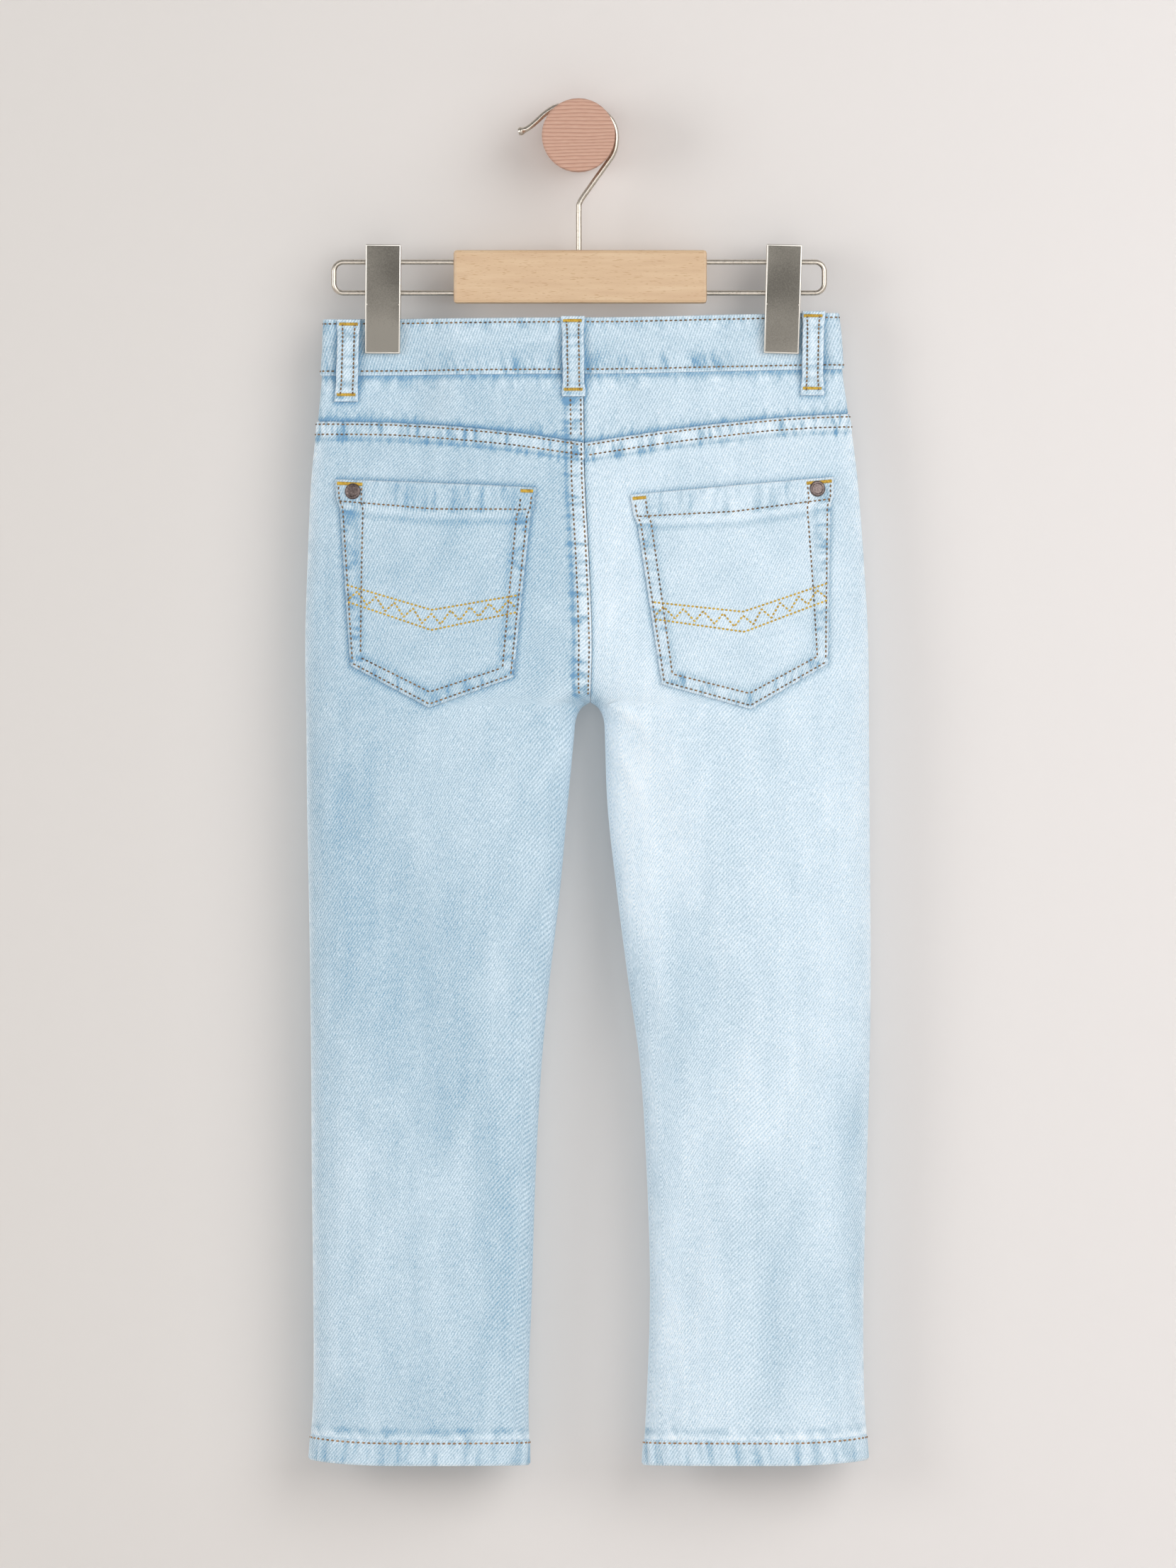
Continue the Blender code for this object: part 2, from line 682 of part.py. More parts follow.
def belt_loop(loop):
    """A folded strip tacked down at both ends, standing off the waistband between them."""
    outer, inner = [], []
    for i in range(LOOP_ROWS + 1):
        part = i / LOOP_ROWS
        z = mix(loop.z_top, loop.z_low, part)
        middle = mix(loop.x_top, loop.x_low, part)
        from_end = min(part, 1 - part) * (loop.z_top - loop.z_low)
        stand = LOOP_STAND * smooth((from_end - LOOP_END) / 7)
        ends_wider = 1 + 0.1 * (1 - smooth((from_end - 3) / 6))
        side = side_of(middle, z)
        across = min(1.0, abs(outer_x(side, z) - middle) / abs(outer_x(side, z) - inner_x(side, z)))
        edge = band_low(loop.face, side, across)
        over_band = smooth((z - edge + 3.0) / 3.0)
        base = SEAM_GAP + BAND_OUT * over_band
        row_outer, row_inner = [], []
        for j in range(3):
            x = middle + (j / 2 - 0.5) * LOOP_WIDTH * ends_wider
            row_outer.append(on_face(loop.face, x, z, base + stand + LOOP_WALL))
            row_inner.append(on_face(loop.face, x, z, base + stand))
        outer.append(row_outer)
        inner.append(row_inner)
    return wall(loop.name, outer, inner, "denim")


FLY_WIDTH = 34.0
FLY_LOW = -262.0
FLY_OVERLAP = 2.5
FLY_STRAIGHT_SHARE = 0.62
FLY_FOOT_SHARE = 0.2


def fly():
    """The lapped fly on the left front, which hides the zip and curves in at its foot."""
    columns, rows = 4, 10
    outer, inner = [], []
    for i in range(rows + 1):
        row_outer, row_inner = [], []
        for j in range(columns + 1):
            down, across = i / rows, j / columns
            high = band_low(FRONT, LEFT, 1.0) - WAIST_GAP
            z = mix(high, FLY_LOW, down)
            curve = max(0.0, (down - FLY_STRAIGHT_SHARE) / (1 - FLY_STRAIGHT_SHARE))
            width = FLY_WIDTH * max(FLY_FOOT_SHARE, math.sqrt(1 - min(1.0, curve) ** 2))
            x = inner_x(LEFT, z) + FLY_OVERLAP - width * across
            row_outer.append(on_face(FRONT, x, z, SEAM_GAP + FACING_WALL))
            row_inner.append(on_face(FRONT, x, z, SEAM_GAP))
        outer.append(row_outer)
        inner.append(row_inner)
    return wall("fly", outer, inner, "denim")


# Turned and formed hardware


def turned(name, profile, steps, finish):
    """A closed solid from (radius, height) points, turned about +Z and capped at the axis."""
    bm = bmesh.new()
    verts = [bm.verts.new((radius, 0, height)) for radius, height in profile]
    edges = [bm.edges.new(pair) for pair in zip(verts, verts[1:])]
    bmesh.ops.spin(
        bm,
        geom=verts + edges,
        cent=(0, 0, 0),
        axis=(0, 0, 1),
        angle=math.tau,
        steps=steps,
        use_merge=True,
    )
    bmesh.ops.remove_doubles(bm, verts=bm.verts, dist=0.0005)
    bmesh.ops.recalc_face_normals(bm, faces=bm.faces)
    return mesh_object(name, bm, finish)


def face_outwards(obj, point, direction):
    """Places a turned piece with its foot at point and its axis along direction."""
    turn = Vector(direction).to_track_quat("Z", "Y").to_matrix().to_4x4()
    obj.matrix_world = Matrix.Translation(Vector(point) * MM) @ turn
    return obj


RIVET_PROFILE = [(0, 0), (4.75, 0), (4.75, 0.5), (4.3, 1.1), (3.3, 1.35), (2.9, 1.0), (0, 1.0)]
BUTTON_PROFILE = [(0, 0), (3.4, 0), (3.4, 2.0), (8.5, 2.4), (8.7, 3.2), (7.9, 4.2), (6.4, 4.3), (5.8, 3.9), (0, 3.9)]
RIVET_CLEAR = 0.5
RIVET_AT = {LEFT: (-133.0, -210.8), RIGHT: (140.8, -209.2)}


def rivet(side):
    x, z = RIVET_AT[side]
    shape = POCKETS[side]
    across = (x - shape.outer_top[0]) / (shape.inner_top[0] - shape.outer_top[0])
    down = (shape.outer_top[1] - z) / (shape.outer_top[1] - shape.outer_low[1])
    foot = on_face(BACK, x, z, pocket_base(across, down) + POCKET_WALL + RIVET_CLEAR)
    direction = on_face(BACK, x, z, 1.0) - on_face(BACK, x, z, 0.0)
    made = turned(f"rivet_{SIDE_NAMES[side]}", RIVET_PROFILE, 20, "copper")
    return face_outwards(made, foot, direction)


def waist_button():
    x = inner_x(RIGHT, BAND_TOP_CENTRE) + BUTTON_LAP - BUTTON_FROM_END
    z = BAND_TOP_CENTRE - FRONT_DIP - BAND_HEIGHT / 2
    lift = BAND_OUT * 2 + BAND_IN + SEAM_GAP * 2
    foot = on_face(FRONT, x, z, lift + 0.1)
    made = turned("waist_button", BUTTON_PROFILE, 20, "copper")
    return face_outwards(made, foot, (0, FRONT, 0))


def wire(name, points, radius, finish, swell=None):
    """A round wire along points in millimetres, as a curve with filled ends. swell scales it point by point."""
    data = bpy.data.curves.new(name, "CURVE")
    data.dimensions = "3D"
    data.bevel_depth = radius * MM
    data.bevel_resolution = 2
    data.use_fill_caps = True
    spline = data.splines.new("POLY")
    spline.points.add(len(points) - 1)
    for k, (at, point) in enumerate(zip(spline.points, points)):
        at.co = (*(Vector(point) * MM), 1)
        at.radius = swell[k] if swell else 1.0
    return add_object(name, data, finish)


def arc(centre, radius, start_degrees, end_degrees, steps):
    """Points round a centre in the hanging plane, from +X towards +Z."""
    points = []
    for k in range(steps + 1):
        angle = math.radians(mix(start_degrees, end_degrees, k / steps))
        points.append((centre[0] + radius * math.cos(angle), HANG_Y, centre[1] + radius * math.sin(angle)))
    return points


def wire_frame(side):
    """The flat wire loop that carries one clip, its two ends let into the wood bar."""
    bar_end = BAR_LOW_X if side == LEFT else BAR_HIGH_X
    inside = bar_end - side * WIRE_SOCKET
    end = WIRE_END_X[side]
    corner_x = end - side * WIRE_CORNER
    high = arc((corner_x, WIRE_HIGH_Z - WIRE_CORNER), WIRE_CORNER, 90, 90 - side * 90, 5)
    low = arc((corner_x, WIRE_LOW_Z + WIRE_CORNER), WIRE_CORNER, -(90 - side * 90), -90, 5)
    if side == LEFT:
        low = arc((corner_x, WIRE_LOW_Z + WIRE_CORNER), WIRE_CORNER, 180, 270, 5)
    path = [(inside, HANG_Y, WIRE_HIGH_Z), *high, *low, (inside, HANG_Y, WIRE_LOW_Z)]
    return wire(f"wire_{SIDE_NAMES[side]}", path, WIRE_RADIUS, "wire")


HOOK_TURN = 20.0
HOOK_CENTRE_Z = PEG_NECK_RADIUS + HOOK_RADIUS + SEAM_GAP - HOOK_TURN


def hook():
    """The hanger's hook: a straight stem, a kink out, a turn over the peg and a flared tip."""
    loop = arc((0, HOOK_CENTRE_Z), HOOK_TURN, -34, 128, 16)
    leave = loop[-1]
    tip = [
        (leave[0] - 6.5, HANG_Y, leave[2] - 5.6),
        (leave[0] - 9.2, HANG_Y, leave[2] - 7.8),
        (leave[0] - 12.2, HANG_Y, leave[2] - 9.6),
        (leave[0] - 15.8, HANG_Y, leave[2] - 10.6),
        (leave[0] - 18.4, HANG_Y, leave[2] - 10.9),
    ]
    bulb = [(tip[-1][0] - k * 0.7, HANG_Y, tip[-1][2]) for k in range(1, 6)]
    bulb_radius = [1.3, 1.52, 1.56, 1.4, 0.9]
    first = loop[0]
    kink = [
        (HOOK_STEM_X, HANG_Y, -46.0),
        (HOOK_STEM_X + 0.4, HANG_Y, -43.2),
        (HOOK_STEM_X + 1.6, HANG_Y, -40.6),
        (HOOK_STEM_X + 3.2, HANG_Y, -38.4),
        (first[0] - 3.6, HANG_Y, first[2] - 5.4),
    ]
    stem = [(HOOK_STEM_X, HANG_Y, BAR_TOP - HOOK_SOCKET + BORE_CLEAR)]
    path = stem + kink + loop + tip + bulb
    swell = [1.0] * (len(path) - len(bulb)) + bulb_radius
    return wire("hook", path, HOOK_RADIUS, "wire", swell)


def box(low, high, bevel=0.0, segments=2):
    """A bmesh box between two corners, its edges rounded."""
    bm = bmesh.new()
    bmesh.ops.create_cube(bm, size=1.0)
    size = [b - a for a, b in zip(low, high)]
    bmesh.ops.scale(bm, vec=size, verts=bm.verts)
    bmesh.ops.translate(bm, vec=[(a + b) / 2 for a, b in zip(low, high)], verts=bm.verts)
    if bevel:
        bmesh.ops.bevel(
            bm, geom=bm.edges[:], offset=bevel, segments=segments, profile=0.5, affect="EDGES", material=-1
        )
    return bm


def helper(name, bm):
    """A cutter or a shape to be joined: it shapes another object and isn't a piece."""
    obj = mesh_object(name, bm, "nickel")
    obj.hide_render = True
    obj.display_type = "WIRE"
    return obj


def rod(radius, start, end, segments=16):
    """A bmesh cylinder between two points."""
    bm = bmesh.new()
    start, end = Vector(start), Vector(end)
    bmesh.ops.create_cone(
        bm, cap_ends=True, segments=segments, radius1=radius, radius2=radius, depth=(end - start).length
    )
    turn = (end - start).to_track_quat("Z", "Y").to_matrix().to_4x4()
    bmesh.ops.transform(bm, matrix=Matrix.Translation((start + end) / 2) @ turn, verts=bm.verts)
    return bm


def combine(obj, operation, *helpers):
    for other in helpers:
        modifier = obj.modifiers.new(f"{operation.lower()}_{other.name}", "BOOLEAN")
        modifier.operation = operation
        modifier.object = other
        modifier.solver = "EXACT"


def wood_bar():
    """The beech bar, bored for the wire frame's four ends and for the hook."""
    half = BAR_DEPTH / 2
    low = (BAR_LOW_X, HANG_Y - half, BAR_LOW)
    high = (BAR_HIGH_X, HANG_Y + half, BAR_TOP)
    bar = mesh_object("wood_bar", box(low, high, 1.8), "beech")
    bore = WIRE_RADIUS + BORE_CLEAR
    for side, end in ((LEFT, BAR_LOW_X), (RIGHT, BAR_HIGH_X)):
        for z in (WIRE_HIGH_Z, WIRE_LOW_Z):
            start = (end + side * 2, HANG_Y, z)
            stop = (end - side * (WIRE_SOCKET + BORE_CLEAR), HANG_Y, z)
            cutter = helper(f"bore_{SIDE_NAMES[side]}_{int(-z)}", rod(bore, start, stop))
            combine(bar, "DIFFERENCE", cutter)
    stem_start = (HOOK_STEM_X, HANG_Y, BAR_TOP + 2)
    stem_stop = (HOOK_STEM_X, HANG_Y, BAR_TOP - HOOK_SOCKET)
    combine(bar, "DIFFERENCE", helper("bore_hook", rod(HOOK_RADIUS + BORE_CLEAR, stem_start, stem_stop)))
    return bar


JAW_GAP = PINCH_DEPTH + BAND_OUT + SEAM_GAP / 2 + 0.35
JAW_PAD = 2.2
HANDLE_OUT = 10.5
EAR_WALL = 1.1
EAR_INSET = {BACK: 0.4, FRONT: 1.9}
EAR_TIP = 4.0
EAR_ROOT = 9.2
EAR_BELOW = 7.5
EAR_ABOVE = 9.5
BORE_CLEAR = 0.3


def lean(bm, side):
    """Turns a clip's shape by the small angle at which that clip hangs."""
    pivot = Vector((CLIP_X[side], HANG_Y, WIRE_LOW_Z))
    turn = Matrix.Rotation(math.radians(CLIP_TILT[side]), 4, "Y")
    matrix = Matrix.Translation(pivot) @ turn @ Matrix.Translation(-pivot)
    bmesh.ops.transform(bm, matrix=matrix, verts=bm.verts)
    return bm


def clip_jaw(side, face):
    """One pressed plate of a clip: leaning handle, folded rim, and a pad that bears on the waistband."""
    middle = CLIP_X[side]
    half = CLIP_WIDTH / 2
    jaw_out = JAW_GAP + JAW_PAD
    profile = [
        (jaw_out + SHEET_WALL, CLIP_LOW),
        (HANDLE_OUT + SHEET_WALL, CLIP_TOP),
        (HANDLE_OUT - 1.2, CLIP_TOP),
        (HANDLE_OUT - 1.2, CLIP_TOP - SHEET_WALL),
        (HANDLE_OUT - 0.2, CLIP_TOP - SHEET_WALL),
        (jaw_out + 0.9, CLIP_LOW + JAW_HEIGHT + 0.6),
        (JAW_GAP + 0.5, CLIP_LOW + JAW_HEIGHT),
        (JAW_GAP, CLIP_LOW + JAW_HEIGHT - 1.0),
        (JAW_GAP, CLIP_LOW + 0.8),
        (JAW_GAP + 0.6, CLIP_LOW),
    ]
    bm = bmesh.new()
    verts = [bm.verts.new((middle - half, HANG_Y + face * out, z)) for out, z in profile]
    end = bm.faces.new(verts)
    made = bmesh.ops.extrude_face_region(bm, geom=[end])
    moved = [item for item in made["geom"] if isinstance(item, bmesh.types.BMVert)]
    bmesh.ops.translate(bm, vec=(CLIP_WIDTH, 0, 0), verts=moved)
    bmesh.ops.recalc_face_normals(bm, faces=bm.faces)
    name = f"clip_{SIDE_NAMES[side]}_{'seat' if face == BACK else 'fly'}_jaw"
    jaw = mesh_object(name, lean(bm, side), "nickel")
    tip_y, root_y = HANG_Y - face * EAR_TIP, HANG_Y + face * EAR_ROOT
    for hand in (LEFT, RIGHT):
        near = middle + hand * (half - EAR_INSET[face])
        far = near - hand * EAR_WALL
        low = (min(near, far), min(tip_y, root_y), WIRE_LOW_Z - EAR_BELOW)
        high = (max(near, far), max(tip_y, root_y), WIRE_LOW_Z + EAR_ABOVE)
        ear = box(low, high)
        corners = [
            edge
            for edge in ear.edges
            if all(abs(vert.co.y - tip_y) < 0.01 for vert in edge.verts)
            and abs(edge.verts[0].co.x - edge.verts[1].co.x) > 0.5
        ]
        bmesh.ops.bevel(ear, geom=corners, offset=3.2, segments=3, profile=0.5, affect="EDGES", material=-1)
        tag = f"{name}_ear_{SIDE_NAMES[hand]}"
        combine(jaw, "UNION", helper(tag, lean(ear, side)))
        start = (near + hand * 2, HANG_Y, WIRE_LOW_Z)
        stop = (far - hand * 2, HANG_Y, WIRE_LOW_Z)
        combine(jaw, "DIFFERENCE", helper(f"{tag}_hole", rod(WIRE_RADIUS + BORE_CLEAR, start, stop)))
    return jaw


SPRING_RADIUS = 4.2
SPRING_LENGTH = 13.0


def clip_spring(side):
    """The torsion spring round the lower wire, as its outer shape."""
    bore = WIRE_RADIUS + BORE_CLEAR
    half = SPRING_LENGTH / 2
    profile = [(bore, -half), (SPRING_RADIUS, -half), (SPRING_RADIUS, half), (bore, half), (bore, -half)]
    made = turned(f"clip_{SIDE_NAMES[side]}_spring", profile, 16, "wire")
    return face_outwards(made, (CLIP_X[side], HANG_Y, WIRE_LOW_Z), (1, 0, 0))


def wall_peg():
    """The turned peg: a base against the wall, a neck that the hook sits on, and a flat round head."""
    neck_low, neck_high = PEG_NECK_Y
    profile = [
        (0, 0),
        (PEG_BASE_RADIUS - 0.8, 0),
        (PEG_BASE_RADIUS, 0.8),
        (PEG_BASE_RADIUS, neck_low - 3.5),
        (PEG_BASE_RADIUS - 1.2, neck_low - 1.0),
        (PEG_NECK_RADIUS, neck_low + 1.5),
        (PEG_NECK_RADIUS, neck_high - 3.0),
        (PEG_HEAD_RADIUS - 1.4, neck_high),
        (PEG_HEAD_RADIUS, neck_high + 1.4),
        (PEG_HEAD_RADIUS, PEG_LENGTH - 1.2),
        (PEG_HEAD_RADIUS - 0.35, PEG_LENGTH - 0.35),
        (PEG_HEAD_RADIUS - 1.2, PEG_LENGTH),
        (0, PEG_LENGTH),
    ]
    made = turned("wall_peg", profile, 36, "cedar")
    return face_outwards(made, (0, 0, 0), (0, -1, 0))


def main():
    clear_scene()
    for side in (LEFT, RIGHT):
        back_panel(side)
        front_panel(side)
        yoke(side)
        waistband(side)
        pocket_facing(side)
        back_pocket(side)
        hem(side)
        rivet(side)
        wire_frame(side)
        clip_jaw(side, BACK)
        clip_jaw(side, FRONT)
        clip_spring(side)
    for loop in LOOPS:
        belt_loop(loop)
    fly()
    waist_button()
    wood_bar()
    hook()
    wall_peg()


main()
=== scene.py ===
"""The looks of a child's light denim jeans on a clip hanger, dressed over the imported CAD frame.

Sizes in the tables are millimetres in the frame's axes: +Z up, -Y out of the seat side, +X to the right of
someone looking at the seat. "left" and "right" are that viewer's, as in the frame's node names.
"""

import math
import random
from collections import namedtuple

import bmesh
import bpy
import numpy as np
from mathutils import Matrix, Vector, noise


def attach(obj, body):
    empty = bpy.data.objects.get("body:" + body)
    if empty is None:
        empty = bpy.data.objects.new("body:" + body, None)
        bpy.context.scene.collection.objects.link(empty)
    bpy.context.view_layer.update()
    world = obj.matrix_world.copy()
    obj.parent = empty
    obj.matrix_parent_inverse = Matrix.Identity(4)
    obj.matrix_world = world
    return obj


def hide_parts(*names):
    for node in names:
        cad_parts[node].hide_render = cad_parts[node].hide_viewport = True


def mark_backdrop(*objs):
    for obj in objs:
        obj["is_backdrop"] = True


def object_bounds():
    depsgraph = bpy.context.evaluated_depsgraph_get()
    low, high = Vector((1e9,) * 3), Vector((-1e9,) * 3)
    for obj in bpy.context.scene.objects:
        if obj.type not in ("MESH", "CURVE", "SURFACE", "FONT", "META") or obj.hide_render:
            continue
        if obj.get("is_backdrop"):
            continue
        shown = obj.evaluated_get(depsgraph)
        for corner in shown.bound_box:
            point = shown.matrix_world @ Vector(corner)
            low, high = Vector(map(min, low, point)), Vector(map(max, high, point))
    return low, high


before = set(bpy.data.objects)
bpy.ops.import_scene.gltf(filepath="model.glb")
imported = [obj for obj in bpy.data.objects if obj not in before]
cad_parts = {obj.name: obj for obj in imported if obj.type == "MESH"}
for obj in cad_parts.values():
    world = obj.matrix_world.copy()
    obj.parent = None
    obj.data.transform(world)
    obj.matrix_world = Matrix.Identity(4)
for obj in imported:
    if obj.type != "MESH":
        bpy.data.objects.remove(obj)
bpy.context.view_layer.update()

# The two back leg panels, washed cotton twill about 1 mm thick. Each hangs as the seat side of a flat tube,
# from the yoke to the hem. The left one is folded over the right along the centre seam and sewn down in two
# rows.
MM = 0.001
LEFT, RIGHT = -1, 1
BACK, FRONT = -1, 1
SIDE_NAMES = {LEFT: "left", RIGHT: "right"}
PANEL_PARTS = ("hip", "thigh", "shin")
HANG_Y = -32.0
ROUNDNESS = 2.35
COLUMN_SPREAD = 1.35
SEAM_GAP = 0.3
PANEL_WALL = 1.2
CROTCH_Z = -336.0
CROTCH_X = 7.0
ARCH_DROP = 15.0
ARCH_REACH = 9.0
CROTCH_EASE = 54.0
RISE_EASE = 1.5
RISE_CURVE = {BACK: 58.0, FRONT: 40.0}
SOLE_Z = -787.0
HEM_HEIGHT = 15.0
HEM_SIDE_LIFT = 3.2

# Height, left outer edge, right outer edge, half of the tube's depth
STATIONS = [
    (-104, -150.4, 153.6, 8.5),
    (-141, -152.0, 156.8, 11.0),
    (-172, -155.0, 161.4, 15.0),
    (-205, -158.2, 165.4, 19.0),
    (-255, -160.4, 169.2, 22.5),
    (-300, -161.7, 171.6, 24.0),
    (-351, -161.0, 172.0, 24.0),
    (-398, -160.6, 172.4, 23.5),
    (-448, -159.6, 172.8, 22.5),
    (-499, -158.8, 173.0, 21.5),
    (-549, -158.2, 172.4, 20.5),
    (-616, -157.8, 170.6, 20.0),
    (-684, -157.0, 168.8, 19.5),
    (-745, -157.0, 169.2, 19.5),
    (-790, -159.8, 172.2, 20.0),
]
OUTER_COLUMN = {LEFT: 1, RIGHT: 2}
DEPTH_COLUMN = 3
# Height, x of the centre seam
CENTRE_SEAM = [(-104, 2.8), (-172, 3.3), (-205, 3.8), (-255, 6.5), (-300, 8.0), (-336, CROTCH_X)]
# Height, left leg's inseam, right leg's inseam
INSEAMS = [
    (-351, -2.0, 15.4),
    (-398, -6.4, 17.2),
    (-448, -10.9, 22.7),
    (-499, -16.8, 29.2),
    (-549, -21.6, 36.2),
    (-616, -25.2, 40.4),
    (-684, -27.4, 42.2),
    (-745, -29.4, 40.4),
    (-790, -28.6, 37.8),
]

# Soft folds of the hanging cloth: a ridge, or a trough below 0, from a high point to a low one on one face
Fold = namedtuple("Fold", "face x_top z_top x_low z_low width height")
FOLDS = [
    Fold(BACK, 54, -335, 66, -425, 20, 2.2),
    Fold(BACK, 134, -450, 70, -742, 17, 2.6),
    Fold(BACK, 160, -505, 96, -752, 16, -2.4),
    Fold(BACK, 40, -370, 92, -560, 16, -1.8),
    Fold(BACK, -132, -375, -46, -728, 22, -2.6),
    Fold(BACK, -24, -352, -66, -560, 18, 2.0),
    Fold(BACK, -110, -205, -60, -172, 16, -1.2),
    Fold(BACK, 112, -188, 64, -158, 14, -1.1),
    Fold(FRONT, 48, -340, 92, -470, 18, 2.2),
    Fold(FRONT, 140, -430, 100, -700, 20, -2.4),
    Fold(FRONT, 92, -520, 76, -745, 17, 2.2),
    Fold(FRONT, -40, -345, -96, -470, 18, 2.2),
    Fold(FRONT, -132, -440, -104, -690, 20, -2.4),
    Fold(FRONT, -78, -530, -94, -748, 17, 2.2),
    Fold(FRONT, 6, -300, 70, -250, 14, -1.6),
    Fold(FRONT, 6, -300, -58, -252, 14, -1.6),
]
# Smaller creases, which are too slight for the frame's solids
CREASES = [
    Fold(BACK, 10, -330, 46, -352, 4.0, 0.9),
    Fold(BACK, 4, -322, -34, -344, 4.0, 0.9),
    Fold(BACK, 12, -345, 40, -392, 5.0, 0.8),
    Fold(BACK, -2, -345, -30, -398, 5.0, 0.8),
    Fold(BACK, 2, -300, -30, -268, 5.0, 0.5),
    Fold(BACK, 10, -296, 34, -262, 5.0, 0.5),
    Fold(BACK, -150, -300, -122, -352, 6.0, 0.5),
    Fold(BACK, 164, -300, 138, -360, 6.0, 0.5),
    Fold(BACK, -26, -430, -58, -520, 7.0, 0.6),
    Fold(BACK, 30, -440, 58, -540, 7.0, 0.6),
    Fold(BACK, -70, -600, -96, -700, 9.0, 0.6),
    Fold(BACK, 150, -600, 128, -700, 9.0, 0.6),
    Fold(FRONT, 12, -330, 52, -322, 4.0, 0.9),
    Fold(FRONT, 2, -330, -44, -320, 4.0, 0.9),
    Fold(FRONT, 14, -344, 46, -372, 5.0, 0.8),
    Fold(FRONT, 0, -344, -36, -376, 5.0, 0.8),
]

# The clips' pinch of the waistband, and the yoke seam that tops the back panels
CLIP_X = {LEFT: -115.7, RIGHT: 121.2}
PINCH_DEPTH = 2.3
PINCH_HEAD = -143.0
PINCH_FOOT = -205.0
PINCH_HALF = 13.5
PINCH_FADE = 34.0
YOKE_SIDE = {LEFT: -168.9, RIGHT: -164.5}
YOKE_CENTRE = -181.8
YOKE_CURVE = {LEFT: 2.2, RIGHT: 1.55}


def mix(a, b, share):
    return a + (b - a) * share


def smooth(value):
    """0 to 1 with no slope at either end."""
    value = np.clip(value, 0.0, 1.0)
    return value * value * (3 - 2 * value)


def bump(value):
    """1 at 0, falling off as a bell on both sides."""
    return np.exp(-value * value)


def curve(rows, column, z):
    """A column of a table at heights z, through a smooth curve."""
    heights = np.array([row[0] for row in rows], float)
    values = np.array([row[column] for row in rows], float)
    order = np.arange(len(rows))
    before, after = np.maximum(order - 1, 0), np.minimum(order + 1, order[-1])
    slopes = (values[after] - values[before]) / (heights[after] - heights[before])
    z = np.clip(z, heights[-1], heights[0])
    high = np.clip(np.searchsorted(-heights, -z) - 1, 0, order[-1] - 1)
    low = high + 1
    span = heights[low] - heights[high]
    u = (z - heights[high]) / span
    return (
        values[high] * (1 + 2 * u) * (1 - u) ** 2
        + slopes[high] * span * u * (1 - u) ** 2
        + values[low] * u * u * (3 - 2 * u)
        - slopes[low] * span * u * u * (1 - u)
    )


def outer_x(side, z):
    return curve(STATIONS, OUTER_COLUMN[side], z)


def inner_x(side, z):
    """The centre seam above the crotch, and the inseam below it, which leaves the crotch as an arch."""
    foot = curve(INSEAMS, OUTER_COLUMN[side], z)
    drop = np.clip((CROTCH_Z - z) / ARCH_DROP, 0.0, 1.0)
    inseam = CROTCH_X + (foot - CROTCH_X) * np.sqrt(1 - (1 - drop) ** 2)
    return np.where(z > CROTCH_Z, curve(CENTRE_SEAM, 1, z), inseam)


def eased_inner_x(side, z):
    """The same line without the arch's sharp turn, which the wide middle of a panel follows."""
    foot = curve(INSEAMS, OUTER_COLUMN[side], z)
    return mix(curve(CENTRE_SEAM, 1, z), foot, smooth((CROTCH_Z + CROTCH_EASE * 0.35 - z) / CROTCH_EASE))


def section(face, side, z):
    """Centre x, half width and end angle of one panel's arc at heights z."""
    reach = np.clip(1 - (z - CROTCH_Z) / RISE_CURVE[face], 0.0, 1.0) ** RISE_EASE
    outer, inner = outer_x(side, z), eased_inner_x(side, z)
    half_width = np.abs(outer - inner) / (1 + reach)
    centre = inner + (outer - inner) * reach / (1 + reach)
    return centre, half_width, np.arccos(-(reach ** (ROUNDNESS / 2)))


def clip_pinch(x, z):
    """1 where a clip presses the waistband, falling to 0 beside and below it."""
    fade_down = 1 - smooth((PINCH_HEAD - z) / (PINCH_HEAD - PINCH_FOOT))
    nearest = np.minimum(np.abs(x - CLIP_X[LEFT]), np.abs(x - CLIP_X[RIGHT]))
    return fade_down * (1 - smooth((nearest - PINCH_HALF) / PINCH_FADE))


def fold_height(folds, face, x, z):
    """The rise of a list of folds at points of one face."""
    total = np.zeros_like(x)
    for fold in folds:
        if fold.face == face:
            dx, dz = fold.x_low - fold.x_top, fold.z_low - fold.z_top
            along = ((x - fold.x_top) * dx + (z - fold.z_top) * dz) / (dx * dx + dz * dz)
            held = np.clip(along, 0.0, 1.0)
            away = np.hypot(x - fold.x_top - held * dx, z - fold.z_top - held * dz)
            taper = smooth(np.minimum(held, 1 - held) / 0.3)
            total += fold.height * (0.25 + 0.75 * taper) * bump(away / fold.width)
    return total


def half_depth(face, x, z, bulge):
    """The cloth's outer surface, out from the hanging plane. bulge is the section's own 0 to 1."""
    depth = curve(STATIONS, DEPTH_COLUMN, z) * bulge
    pinch = clip_pinch(x, z)
    depth = mix(depth, np.minimum(depth, PINCH_DEPTH), pinch)
    return depth + fold_height(FOLDS, face, x, z) * smooth(bulge * 1.3 - 0.2) * (1 - pinch)


